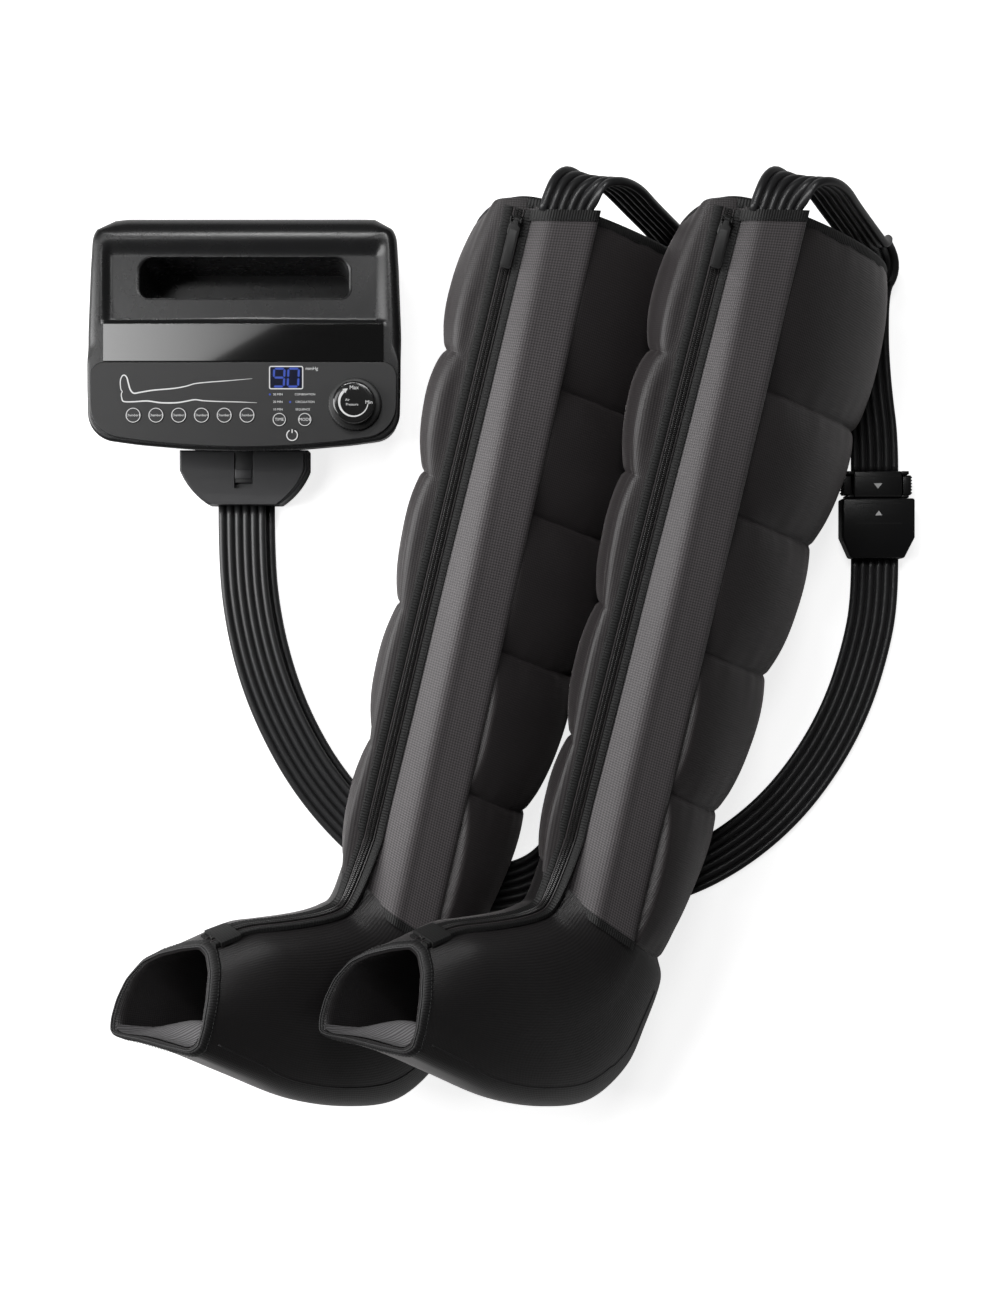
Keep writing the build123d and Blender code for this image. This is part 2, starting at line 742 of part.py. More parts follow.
def boot_pieces(sole, side, bed_z):
    """All the pieces of one boot, which rests on hoses as high as bed_z."""
    count = len(seam_heights) - 1
    for index in range(count):
        low = seam_heights[index] + chamber_gap
        high = seam_heights[index + 1] - (chamber_gap if index < count - 1 else 0)
        low_half, high_half = seam_half_depth(index), seam_half_depth(index + 1)
        low_shift, high_shift = shin_offset(index), shin_offset(min(index + 1, count - 1))
        width_low = ankle_half_width if index == 0 else shaft_half_width
        middle_half = (low_half + high_half) / 2 + chamber_swell
        middle_shift = (low_shift + high_shift) / 2
        stations = [(low, low_shift, low_half, width_low),
                    ((low + high) / 2, middle_shift, middle_half, shaft_half_width + side_swell),
                    (high, high_shift, high_half, shaft_half_width)]
        with BuildPart() as chamber:
            outer = []
            for height, shift, half, width in stations:
                with BuildSketch(shaft_plane(sole, height, shift)) as section:
                    Ellipse(half, width)
                outer.append(section.sketch)
            loft(sections=outer)
            inner = []
            for height, shift, half, width in (stations[0], stations[-1]):
                with BuildSketch(shaft_plane(sole, height, shift)) as section:
                    Ellipse(half - boot_wall, width - boot_wall)
                inner.append(section.sketch)
            loft(sections=inner, mode=Mode.SUBTRACT)
            add(cover_solid_part(sole), mode=Mode.SUBTRACT)
            add(zip_trough_part(sole), mode=Mode.SUBTRACT)
            if index == 0:
                add(hose_bed(sole, bed_z), mode=Mode.SUBTRACT)
        finish(chamber, f"{side}_chamber_{count - index}")

    with BuildPart() as hose_cover:
        cover_solid(sole, 0.0, 0.0)
        fillet(hose_cover.edges().filter_by(lambda e: e.length > 300), 3.0)
    finish(hose_cover, f"{side}_hose_cover")

    foot_builder(sole, side)
    zip_builder(sole, side)


def cover_solid_part(sole):
    """The space that the chambers leave for the hose cover."""
    with BuildPart(mode=Mode.PRIVATE) as space:
        cover_solid(sole, chamber_gap, 5.0, cover_reach)
    return space.part


def zip_trough_part(sole):
    """The straight channel that the chambers leave for the zip and its slider."""
    with BuildPart(mode=Mode.PRIVATE) as space:
        with BuildSketch(zip_plane(sole, -60)):
            with Locations((0, -chain_height / 2 - chamber_gap)):
                Rectangle(zip_trough, 60, align=(Align.CENTER, Align.MIN))
        extrude(amount=zip_length() + 120)
    return space.part


def foot_builder(sole, side):
    """The foot: a padded shoe with an open toe and a collar that meets the shaft."""
    half, length = foot_half_width, foot_length
    outer = [(-heel_back, half * 0.62, toe_height * 0.74, 30.0),
             (0.0, half * 0.95, toe_height * 1.1, 38.0),
             (length * 0.3, half, toe_height * 1.36, 44.0),
             (length * 0.53, half, toe_height * 1.47, 46.0),
             (length * 0.73, half, toe_height * 1.32, 44.0),
             (length, half * 0.94, toe_height, 40.0)]
    inner = [(6.0, half - 3 * foot_wall, toe_height * 0.85, 22.0),
             (length * 0.3, half - 1.5 * foot_wall, toe_height * 1.15, 30.0),
             (length * 0.53, half - foot_wall, toe_height * 1.26, 32.0),
             (length * 0.73, half - foot_wall, toe_height * 1.11, 32.0),
             (length + 30, half * 0.94 - foot_wall, toe_height * 0.82, 30.0)]
    collar_top = seam_heights[0] - chamber_gap
    with BuildPart() as foot:
        foot_loft(sole, outer, 0.0, Mode.ADD)
        collar = []
        for height, shift, depth, width in ((40.0, shin_shift - 6, ankle_half_depth - 8,
                                             ankle_half_width - 14),
                                            (collar_top, shin_shift, ankle_half_depth,
                                             ankle_half_width)):
            with BuildSketch(shaft_plane(sole, height, shift)) as section:
                Ellipse(depth, width)
            collar.append(section.sketch)
        loft(sections=collar)
        foot_loft(sole, inner, sole_thickness, Mode.SUBTRACT)
        leg = []
        for height in (60.0, collar_top + 1):
            with BuildSketch(shaft_plane(sole, height, shin_shift)) as section:
                Ellipse(ankle_half_depth - boot_wall, ankle_half_width - boot_wall)
            leg.append(section.sketch)
        loft(sections=leg, mode=Mode.SUBTRACT)
        add(zip_trough_part(sole), mode=Mode.SUBTRACT)
        add(cover_solid_part(sole), mode=Mode.SUBTRACT)
    finish(foot, f"{side}_foot")


def zip_builder(sole, side):
    """The zip's chain, the slider that runs on it and the pull tab on the slider."""
    length = zip_length()
    with BuildPart() as chain:
        with BuildSketch(zip_plane(sole, 0)):
            Rectangle(chain_width, chain_height)
        extrude(amount=length)
    finish(chain, f"{side}_zip_chain")

    slider_start = length - slider_top_margin - slider_length
    slider_top = slider_height - chain_height / 2 + slider_fit
    pin_at = slider_start + slider_length - lug_length / 2 - 2
    pin_y = slider_top + pull_pin_radius + eye_wall + lug_gap
    with BuildPart() as slider:
        with BuildSketch(zip_plane(sole, slider_start)):
            with Locations((0, slider_height / 2 - chain_height / 2 + slider_fit)):
                Rectangle(slider_width, slider_height)
            Rectangle(chain_width + 2 * slider_fit, chain_height + 2 * slider_fit,
                      mode=Mode.SUBTRACT)
        extrude(amount=slider_length)
        with BuildSketch(zip_plane(sole, pin_at - lug_length / 2)):
            with Locations((0, slider_top + lug_height / 2 - 0.5)):
                Rectangle(slider_width, lug_height + 1)
                Rectangle(eye_width + 2 * lug_gap, lug_height + 1, mode=Mode.SUBTRACT)
        extrude(amount=lug_length)
        with BuildSketch(pin_plane(sole, pin_at, pin_y)):
            Circle(pull_pin_radius)
        extrude(amount=slider_width / 2, both=True)
    finish(slider, f"{side}_zip_slider")

    with BuildPart() as pull:
        with BuildSketch(zip_plane(sole, pin_at - pull_length)):
            with Locations((0, pin_y)):
                Rectangle(pull_width, pull_thickness)
        extrude(amount=pull_length - lug_length)
        with BuildSketch(zip_plane(sole, pin_at - lug_length)):
            with Locations((0, pin_y)):
                Rectangle(eye_width, pull_thickness)
        extrude(amount=lug_length)
        with BuildSketch(pin_plane(sole, pin_at, pin_y)):
            Circle(pull_pin_radius + eye_wall)
        extrude(amount=eye_width / 2, both=True)
        with BuildSketch(pin_plane(sole, pin_at, pin_y)):
            Circle(pull_pin_radius + running_fit)
        extrude(amount=eye_width, both=True, mode=Mode.SUBTRACT)
    finish(pull, f"{side}_pull_tab")


low_z = ribbon_thickness / 2 + table_gap
high_z = low_z + ribbon_thickness + ribbon_gap
boot_pieces(left_sole_point, "left", high_z + ribbon_thickness / 2 + ribbon_gap)
boot_pieces(right_sole_point, "right", low_z + ribbon_thickness / 2 + ribbon_gap)

# ==============================================================================================
# Hoses and their in-line connectors
# ==============================================================================================
heading_axis = Vector(sin(heading), cos(heading), 0)
level_right = level_left * -1


def beside(sole, along, right, z):
    """A point beside one boot: level distance along it, to its right, and height."""
    level = Vector(sole.X, sole.Y, 0) + heading_axis * along + level_right * right
    return level + Vector(0, 0, z)


def floor_point(x, y, z):
    """A point of the layout, at one height."""
    return Vector(x, y, z) + layout_shift


def arc_radii(points):
    """The largest tangent arc that each corner of a route has room for."""
    radii = []
    for before, corner, after in zip(points, points[1:], points[2:]):
        run_in, run_out = corner - before, after - corner
        turn = radians(run_in.get_angle(run_out))
        radii.append(0.45 * min(run_in.length, run_out.length) / tan(turn / 2))
    return radii


def hose(points, name, flat):
    """One hose along a route: a flat ribbon on the table, or a round tube over a boot's rim."""
    radii = arc_radii(points)
    print(name, "radii", [round(radius) for radius in radii])
    start = (points[1] - points[0]).normalized()
    with BuildPart() as tube:
        with BuildLine() as route:
            FilletPolyline(*points, radius=radii)
        if flat:
            with BuildSketch(Plane(points[0], x_dir=start.cross(Vector(0, 0, 1)), z_dir=start)):
                Rectangle(ribbon_width, ribbon_thickness)
        else:
            with BuildSketch(Plane(points[0], z_dir=start)):
                Circle(ribbon_thickness / 2)
        sweep(path=route.wires()[0])
    length = route.wires()[0].length
    area = ribbon_width * ribbon_thickness if flat else pi * ribbon_thickness ** 2 / 4
    print(name, "length", round(length), "volume share", round(tube.part.volume / length / area, 4))
    finish(tube, name)


plug_tail_y = plug_centre.Y - layout_shift.Y + plug_front_y - plug_length
plug_x = plug_centre.X - layout_shift.X

right_joint_at = floor_point(364, 146.4, 0)
left_joint_along = 500.0
left_joint_right = 121.0
left_joint_at = beside(left_sole_point, left_joint_along, left_joint_right, 0)

# Both supply hoses leave the plug one over the other, one tube apart, and part under the boots.
supply_shift = tube_pitch / 2
right_supply_route = [(plug_x + supply_shift, plug_tail_y), (plug_x + supply_shift, 88),
                      (-236, 33), (-223, -22),
                      (-204, -72), (-176, -122), (-140, -165), (-98, -202), (-46, -228),
                      (10, -237), (66, -238), (122, -232), (176, -219), (226, -193),
                      (272, -155), (309, -108), (337, -56), (355, 0), (364, 48)]
left_supply_route = [(plug_x - supply_shift, plug_tail_y), (plug_x - supply_shift, 88),
                     (-244, 33), (-231, -22),
                     (-211, -72), (-183, -122), (-146, -167), (-102, -205), (-50, -228),
                     (6, -232), (50, -213), (77, -170)]
right_supply = [floor_point(x, y, low_z) for x, y in right_supply_route]
right_supply.append(right_joint_at + Vector(0, -joint_half_length, low_z))
left_supply = [floor_point(x, y, high_z) for x, y in left_supply_route]
for back in (140, joint_half_length):
    left_supply.append(beside(left_sole_point, left_joint_along - back, left_joint_right, high_z))
hose(right_supply, "right_supply_hose", True)
hose(left_supply, "left_supply_hose", True)


def boot_hose_start(sole):
    """Where a boot's own hose leaves the top of its cover."""
    ahead, aside = cover_top
    return boot_point(sole, seam_heights[-1], ahead, aside)


def loop_over_rim(sole):
    """The part of the route that both boots share: out of the cover and over the rim."""
    start = boot_hose_start(sole)
    return [start, start + shaft_axis * 18, beside(sole, 870, 12, start.Z - 24),
            beside(sole, 866, 40, 138), beside(sole, 864, 70, 80), beside(sole, 858, 110, 26)]


left_hose = loop_over_rim(left_sole_point)
left_hose += [beside(left_sole_point, 826, 126, 13), beside(left_sole_point, 770, 132, high_z),
              beside(left_sole_point, 712, 126, high_z), beside(left_sole_point, 652, 124, high_z)]
for ahead in (90, socket_half_length):
    left_hose.append(beside(left_sole_point, left_joint_along + ahead, left_joint_right, high_z))
right_hose = loop_over_rim(right_sole_point)
right_hose += [beside(right_sole_point, 836, 103, 14), floor_point(354, 300, 6),
               floor_point(358, 250, low_z), floor_point(364, 205, low_z),
               right_joint_at + Vector(0, socket_half_length, low_z)]
hose(left_hose, "left_boot_hose", False)
hose(right_hose, "right_boot_hose", False)


def connector_plane(joint, axis, along, z=0.0):
    """A plane across a connector, some way along it; its Y is up."""
    origin = joint + axis * along + Vector(0, 0, z)
    return Plane(origin, x_dir=Vector(0, 0, 1).cross(axis), z_dir=axis)


def connector_box(width, height, corner):
    """The outline of one connector part, standing on the table."""
    with BuildSketch(mode=Mode.PRIVATE) as outline:
        with Locations((0, height / 2 + table_gap)):
            RectangleRounded(width, height, corner)
    return outline.sketch_local


def connector(joint, axis, side):
    """A connector: the pump side joint, the boot side socket and two squeeze clips."""
    body_end = tail_taper - joint_half_length
    with BuildPart() as lower_half:
        with BuildSketch(connector_plane(joint, axis, body_end)):
            add(connector_box(joint_width, joint_height, 3.0))
        extrude(amount=-body_end - seam_gap)
        sections = []
        for along, width, height in ((body_end, joint_width, joint_height),
                                     (-joint_half_length, joint_tail_width, joint_height * 0.75)):
            with BuildSketch(connector_plane(joint, axis, along)) as section:
                add(connector_box(width, height, 3.0))
            sections.append(section.sketch)
        loft(sections=sections)
    finish(lower_half, f"{side}_joint_plug")

    with BuildPart() as upper_half:
        with BuildSketch(connector_plane(joint, axis, 0)):
            add(connector_box(connector_width, connector_height, 2.5))
        extrude(amount=socket_half_length)
        for way in (-1, 1):
            with BuildSketch(connector_plane(joint, axis, clip_seat)):
                with Locations((way * connector_width / 2, connector_height / 2)):
                    Rectangle(2 * clip_inset, clip_height + 2 * clip_gap)
            extrude(amount=clip_length + 2 * clip_gap, mode=Mode.SUBTRACT)
    finish(upper_half, f"{side}_joint_socket")

    for way, hand in ((-1, "a"), (1, "b")):
        outer = connector_width / 2 + clip_proud
        inner = connector_width / 2 - clip_inset + clip_travel + clip_gap
        with BuildPart() as clip:
            with BuildSketch(connector_plane(joint, axis, clip_seat + clip_gap)):
                with Locations((way * (outer + inner) / 2, connector_height / 2)):
                    Rectangle(outer - inner, clip_height)
            extrude(amount=clip_length)
        finish(clip, f"{side}_joint_clip_{hand}")


connector(left_joint_at, heading_axis, "left")
connector(right_joint_at, Vector(0, 1, 0), "right")
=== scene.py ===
"""Looks of the compression therapy pump set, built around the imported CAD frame.

Points are worked out in millimetres and written to meshes in metres, in the CAD's own frame.
"""
from math import cos, pi, radians, sin, tau

import bmesh
import bpy
import numpy as np
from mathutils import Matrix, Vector


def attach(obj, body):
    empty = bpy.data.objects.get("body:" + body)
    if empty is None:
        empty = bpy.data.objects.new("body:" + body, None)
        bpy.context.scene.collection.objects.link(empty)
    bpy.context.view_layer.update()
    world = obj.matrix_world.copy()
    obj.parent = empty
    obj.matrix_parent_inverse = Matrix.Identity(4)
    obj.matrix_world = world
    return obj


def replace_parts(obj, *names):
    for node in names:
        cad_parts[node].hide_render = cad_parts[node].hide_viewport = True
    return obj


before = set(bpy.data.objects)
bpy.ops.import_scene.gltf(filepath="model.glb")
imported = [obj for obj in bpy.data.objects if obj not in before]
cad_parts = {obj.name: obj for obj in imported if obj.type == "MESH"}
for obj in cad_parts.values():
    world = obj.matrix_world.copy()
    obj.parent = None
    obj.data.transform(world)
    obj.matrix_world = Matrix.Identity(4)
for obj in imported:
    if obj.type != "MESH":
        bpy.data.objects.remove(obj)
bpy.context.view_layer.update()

MM = 0.001
FIXED = "set"

# ---- The layout, as in the CAD ------------
layout_shift = np.array([11.1, 22.2, 0.0])
pump_centre = np.array([-237.0, 293.0, 0.0]) + layout_shift
heading, pitch, roll = radians(12.9), radians(5.0), radians(45.0)
shaft_axis = np.array([sin(heading) * cos(pitch), cos(heading) * cos(pitch), sin(pitch)])
level_left = np.array([-cos(heading), sin(heading), 0.0])
heading_axis = np.array([sin(heading), cos(heading), 0.0])
up_axis = np.array([0.0, 0.0, 1.0])
upward = np.array([-sin(pitch) * sin(heading), -sin(pitch) * cos(heading), cos(pitch)])
forward = level_left * cos(roll) + upward * sin(roll)
sideways = upward * cos(roll) - level_left * sin(roll)
soles = {"left": np.array([-106.5, -440.3, 50.6]) + layout_shift,
         "right": np.array([72.6, -440.3, 50.9]) + layout_shift}
bed_heights = {"left": 16.1, "right": 8.1}
rim_height = 851.0
zip_low, zip_high = (212.0, 107.0, 6.0), (851.0, 116.0, 28.0)
cover_low, cover_high = (212.0, 79.0, 49.0), (851.0, 85.0, 51.0)
cover_tilt = radians(61.0)


# ---- Meshes ------------
def linked(name, data, location=(0, 0, 0)):
    """A new object of the scene."""
    made = bpy.data.objects.new(name, data)
    made.location = location
    bpy.context.scene.collection.objects.link(made)
    return made


def distances(line, closed=False):
    """How far along a line each of its points is; a closed line comes back to its first point."""
    line = np.vstack([line, line[:1]]) if closed else np.asarray(line)
    return np.concatenate([[0], np.cumsum(np.linalg.norm(np.diff(line, axis=0), axis=1))])


def sample(at, places, rows):
    """Rows of values, read between the places where they stand."""
    return np.stack([np.interp(at, places, column) for column in np.transpose(rows)], axis=-1)


def piece(name, vertices, faces, material, body=FIXED, slot=None, uv=None, smooth=True, sharp=None):
    """A mesh object through points in mm, riding on one body."""
    mesh = bpy.data.meshes.new(name)
    mesh.from_pydata((np.asarray(vertices) * MM).tolist(), [], [list(face) for face in faces])
    if uv is not None:
        mesh.uv_layers.new(name="UVMap").data.foreach_set("uv", np.asarray(uv, dtype=float).ravel())
    work = bmesh.new()
    work.from_mesh(mesh)
    bmesh.ops.recalc_face_normals(work, faces=work.faces)
    work.to_mesh(mesh)
    work.free()
    if smooth:
        mesh.shade_smooth()
        if sharp:
            mesh.set_sharp_from_angle(angle=radians(sharp))
    mesh.materials.append(material)
    made = linked(name, mesh)
    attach(made, body)
    return made


def grid(name, rows, material, wrap_rows=False, wrap_cols=False, caps=False, **options):
    """A mesh through rows of points; its UV map counts metres across and along."""
    rows = np.asarray(rows, dtype=float)
    count, width = rows.shape[:2]
    across = distances(rows[count // 2], closed=True) * MM
    along = distances(rows[:, width // 2], closed=True) * MM
    i, j = np.meshgrid(np.arange(count if wrap_rows else count - 1),
                       np.arange(width if wrap_cols else width - 1), indexing="ij")
    i, j = i.ravel(), j.ravel()
    k, l = (i + 1) % count, (j + 1) % width
    faces = np.stack([i * width + j, i * width + l, k * width + l, k * width + j], axis=1).tolist()
    corner_u = np.stack([across[j], across[j + 1], across[j + 1], across[j]], axis=1)
    corner_v = np.stack([along[i], along[i], along[i + 1], along[i + 1]], axis=1)
    uv = np.stack([corner_u, corner_v], axis=2).reshape(-1, 2)
    if caps:
        faces += [list(range(width)), list(range((count - 1) * width, count * width))]
        uv = np.vstack([uv] + [np.column_stack([across[:-1], np.full(width, v)]) for v in (0.0, along[-2])])
    return piece(name, rows.reshape(-1, 3), faces, material, uv=uv, **options)


def sweep(name, line, sides, ups, profile, material, **options):
    """A closed profile of (aside, up) pairs, carried along a line."""
    sides, ups = (np.broadcast_to(rows, np.shape(line))[:, None] for rows in (sides, ups))
    across, lift = np.transpose(profile)[..., None]
    return grid(name, np.asarray(line)[:, None] + sides * across + ups * lift, material, wrap_cols=True, **options)


def worked_out(made):
    """The mesh of an object with its curve or modifiers worked out."""
    return bpy.data.meshes.new_from_object(made.evaluated_get(bpy.context.evaluated_depsgraph_get()))


def bevelled(made, width, segments=3):
    """Round the sharp edges of a piece, and keep the result in its mesh."""
    bevel = made.modifiers.new("bevel", "BEVEL")
    bevel.width = width * MM
    bevel.segments = segments
    bevel.limit_method = "ANGLE"
    bevel.angle_limit = radians(30)
    result = worked_out(made)
    made.modifiers.clear()
    made.data = result
    result.shade_smooth()
    result.set_sharp_from_angle(angle=radians(50))


def prism(name, rings, origin, axes, material, bevel=0.0, segments=3, **options):
    """A solid through rings of (x, y) outlines at heights, drawn in a frame of three axes."""
    rows = [np.column_stack([outline, np.full(len(outline), height)]) @ np.array(axes, dtype=float) + origin
            for height, outline in rings]
    made = grid(name, rows, material, wrap_cols=True, caps=True, sharp=30, **options)
    if bevel:
        bevelled(made, bevel, segments)
    return made


def rectangle(width, depth, centre=(0.0, 0.0)):
    """The four corners of a rectangle."""
    x, y = width / 2, depth / 2
    return [(centre[0] + a * x, centre[1] + b * y) for a, b in ((-1, -1), (1, -1), (1, 1), (-1, 1))]


def circle(radius, count=48, centre=(0.0, 0.0)):
    """Points round a circle."""
    return [(centre[0] + radius * cos(tau * n / count), centre[1] + radius * sin(tau * n / count))
            for n in range(count)]


def arc(centre, radius, degrees):
    """Points on a circle at angles in degrees."""
    return [(centre[0] + radius * cos(radians(turn)), centre[1] + radius * sin(radians(turn))) for turn in degrees]


def rounded(points, radii, steps=8):
    """A closed polygon with rounded corners."""
    result = []
    points, radii = np.array(points, dtype=float), np.broadcast_to(radii, len(points))
    for before, corner, after, radius in zip(np.roll(points, 1, axis=0), points, np.roll(points, -1, axis=0), radii):
        a, b = before - corner, after - corner
        a_length, b_length = np.linalg.norm(a), np.linalg.norm(b)
        a, b = a / a_length, b / b_length
        half = np.arccos(np.clip(np.dot(a, b), -1, 1)) / 2
        reach = min(radius / np.tan(half), 0.49 * a_length, 0.49 * b_length)
        for t in np.linspace(0, 1, steps):
            # a rational quadratic curve is a true arc
            shares = np.array([(1 - t) ** 2, 2 * t * (1 - t) * np.sin(half), t ** 2])
            result.append(shares / shares.sum() @ [corner + a * reach, corner, corner + b * reach])
    return [(float(x), float(y)) for x, y in result]


def smooth_step(value):
    """0 below 0, 1 above 1, and a smooth rise between."""
    value = np.clip(value, 0.0, 1.0)
    return value * value * (3 - 2 * value)


def unit(vector):
    """A vector, or rows of vectors, of length 1."""
    vector = np.asarray(vector, dtype=float)
    return vector / np.linalg.norm(vector, axis=-1, keepdims=True)


def curve_shape(data):
    """Vertices in mm and faces of a curve or word, which is then removed."""
    holder = linked("curve", data)
    mesh = worked_out(holder)
    vertices = np.array([vertex.co[:] for vertex in mesh.vertices]) / MM
    faces = [list(face.vertices) for face in mesh.polygons]
    bpy.data.objects.remove(holder)
    bpy.data.meshes.remove(mesh)
    return vertices, faces


def spline_points(points, steps=10):
    """Points along a smooth line that is steered by a route's points."""
    data = bpy.data.curves.new("route", "CURVE")
    data.dimensions = "3D"
    spline = data.splines.new("NURBS")
    spline.points.add(len(points) - 1)
    for target, point in zip(spline.points, points):
        target.co = (*(np.asarray(point) * MM), 1.0)
    spline.order_u = 3
    spline.use_endpoint_u = True
    spline.resolution_u = steps
    line, _ = curve_shape(data)
    return line[[True, *(np.diff(distances(line)) > 0.01)]]


def curve_through(points, count):
    """Points along a smooth curve that passes through the given rows of values."""
    points = np.asarray(points, dtype=float)
    last = len(points) - 1
    padded = np.concatenate([2 * points[:1] - points[1:2], points, 2 * points[-1:] - points[-2:-1]])
    result = []
    for t in np.linspace(0, last, count):
        n = min(int(t), last - 1)
        x = t - n
        a, b, c, d = padded[n:n + 4]
        result.append(0.5 * (2 * b + (c - a) * x + (2 * a - 5 * b + 4 * c - d) * x ** 2
                             + (3 * b - a - 3 * c + d) * x ** 3))
    return np.array(result)


# ---- Materials ------------
class Shader:
    """A material with a Principled shader, and short calls that add nodes to it."""

    def __init__(self, name, color, roughness, **inputs):
        self.material = bpy.data.materials.new(name)
        self.material.use_nodes = True
        self.tree = self.material.node_tree
        self.main = self.tree.nodes["Principled BSDF"]
        self.set(self.main, {"Base Color": (*color, 1.0), "Roughness": roughness})
        self.set(self.main, inputs)

    @staticmethod
    def set(node, inputs):
        for name, value in inputs.items():
            node.inputs[name].default_value = value

    def node(self, kind, inputs=None, **settings):
        made = self.tree.nodes.new("ShaderNode" + kind)
        for name, value in settings.items():
            setattr(made, name, value)
        for name, value in (inputs or {}).items():
            if isinstance(value, bpy.types.NodeSocket):
                self.tree.links.new(value, made.inputs[name])
            else:
                made.inputs[name].default_value = value
        return made

    def math(self, operation, a, b=0.0):
        return self.node("Math", {0: a, 1: b}, operation=operation).outputs[0]

    def ramp(self, value, low, high, start=0.0, end=1.0):
        """From low to high while a value goes from start to end."""
        return self.node("MapRange", {"Value": value, "From Min": start, "From Max": end, "To Min": low,
                                      "To Max": high}).outputs[0]

    def coordinates(self, kind):
        return self.node("Mapping", {"Vector": self.node("TexCoord").outputs[kind]}).outputs[0]

    def noise(self, scale, detail=3.0):
        return self.node("TexNoise", {"Vector": self.coordinates("Object"), "Scale": scale,
                                      "Detail": detail}).outputs["Fac"]

    def glow(self, strength):
        return self.node("Emission", {"Color": (1, 1, 1, 1), "Strength": strength}).outputs[0]

    def bump(self, height, distance, strength=1.0):
        inputs = {"Height": height, "Distance": distance, "Strength": strength}
        if self.main.inputs["Normal"].is_linked:
            inputs["Normal"] = self.main.inputs["Normal"].links[0].from_socket
        made = self.node("Bump", inputs)
        self.tree.links.new(made.outputs[0], self.main.inputs["Normal"])

    def tint(self, factor, low, high):
        """Colour the surface between two shares of its own colour."""
        source = self.main.inputs["Base Color"]
        before = source.links[0].from_socket if source.is_linked else source.default_value[:3]
        mixed = self.node("VectorMath", {0: before}, operation="SCALE")
        self.tree.links.new(self.ramp(factor, low, high), mixed.inputs["Scale"])
        self.tree.links.new(mixed.outputs[0], source)

    def rough(self, factor, low, high):
        self.tree.links.new(self.ramp(factor, low, high), self.main.inputs["Roughness"])

    def ribs(self, *places):
        """Rounded waves, 0 to 1, the product of a sine in each place."""
        wave = self.math("SINE", places[0])
        for place in places[1:]:
            wave = self.math("MULTIPLY", wave, self.math("SINE", place))
        return self.node("Math", {0: wave, 1: 0.5, 2: 0.5}, operation="MULTIPLY_ADD").outputs[0]

    def surface(self, socket):
        """Show a socket in place of the Principled shader."""
        self.tree.links.new(socket, self.tree.nodes["Material Output"].inputs["Surface"])


def plastic(name, color, roughness, grain=0.0, grain_scale=2500.0, **inputs):
    """Moulded plastic: faint cloudiness, and a moulded grain where it has one."""
    made = Shader(name, color, roughness, **inputs)
    made.tint(made.noise(25.0, 4.0), 0.85, 1.15)
    made.rough(made.noise(60.0, 4.0), roughness * 0.88, roughness * 1.12)
    if grain:
        made.bump(made.noise(grain_scale, 2.0), grain)
    return made.material


def woven(name, color, pitch, depth, roughness=0.8, twill=False, contrast=0.35, **inputs):
    """Cloth with threads of one pitch, drawn on the UV map, which counts metres."""
    made = Shader(name, color, roughness, **inputs)
    place = made.node("SeparateXYZ", {0: made.coordinates("UV")})
    x, y = (made.math("MULTIPLY", place.outputs[n], tau / pitch) for n in (0, 1))
    if twill:
        x, y = made.math("ADD", x, y), made.math("SUBTRACT", x, y)
    height = made.ribs(x, y)
    made.tint(height, 1 - contrast, 1 + contrast)
    made.tint(made.noise(9.0, 4.0), 0.85, 1.15)
    made.bump(height, depth, 0.7)
    made.bump(made.noise(45.0, 3.0), 0.0006, 0.35)
    return made.material


def ribbed(name, color, pitch, depth, roughness=0.75, across=False, **inputs):
    """Tape or trim with ribs across its length."""
    made = Shader(name, color, roughness, **inputs)
    place = made.node("SeparateXYZ", {0: made.coordinates("UV")})
    height = made.ribs(made.math("MULTIPLY", place.outputs[0 if across else 1], tau / pitch))
    made.tint(height, 0.55, 1.35)
    made.bump(height, depth, 0.8)
    made.tint(made.noise(30.0, 3.0), 0.85, 1.15)
    return made.material


def plain(name, color, roughness=0.5, **inputs):
    """Small printed or lit details."""
    made = Shader(name, color, roughness, **inputs)
    made.tint(made.noise(200.0, 2.0), 0.94, 1.06)
    return made.material


def sheen(weight, roughness, tint=0.86):
    """Inputs for the soft shine of cloth."""
    return {"Sheen Weight": weight, "Sheen Roughness": roughness, "Sheen Tint": (0.9, tint, tint, 1)}


shaft_cloth = woven("shaft_cloth", (0.033, 0.029, 0.030), 0.0042, 0.00020, 0.46, twill=True, contrast=0.5,
                    **sheen(0.3, 0.35, 0.84))
foot_cloth = woven("foot_cloth", (0.019, 0.0175, 0.018), 0.0044, 0.00022, 0.40, twill=True, contrast=0.5,
                   **sheen(0.2, 0.3))
cover_cloth = woven("cover_cloth", (0.088, 0.080, 0.083), 0.0048, 0.00026, 0.5, twill=True, contrast=0.6,
                    **sheen(0.15, 0.4))
insole_cloth = ribbed("insole_cloth", (0.20, 0.195, 0.20), 0.0034, 0.0005, 0.8, across=True)
binding_tape = ribbed("binding_tape", (0.012, 0.012, 0.012), 0.0024, 0.0003, 0.6)
toe_binding_tape = ribbed("toe_binding_tape", (0.012, 0.0115, 0.012), 0.0022, 0.0003, 0.6)
piping_cord = ribbed("piping_cord", (0.026, 0.025, 0.026), 0.0015, 0.0001, 0.55)
zip_tape = ribbed("zip_tape", (0.007, 0.007, 0.007), 0.0026, 0.0004, 0.65)
zip_teeth = plastic("zip_teeth", (0.020, 0.019, 0.019), 0.35)
slider_metal = plastic("slider_metal", (0.010, 0.010, 0.010), 0.3, Metallic=0.4)
tab_rubber = ribbed("tab_rubber", (0.007, 0.007, 0.007), 0.0016, 0.0001, 0.6)
thread = plain("thread", (0.03, 0.03, 0.03), 0.6)
hose_rubber = plastic("hose_rubber", (0.021, 0.021, 0.022), 0.38)
case_plastic = plastic("case_plastic", (0.011, 0.011, 0.0115), 0.27, 0.000015, 1800.0)
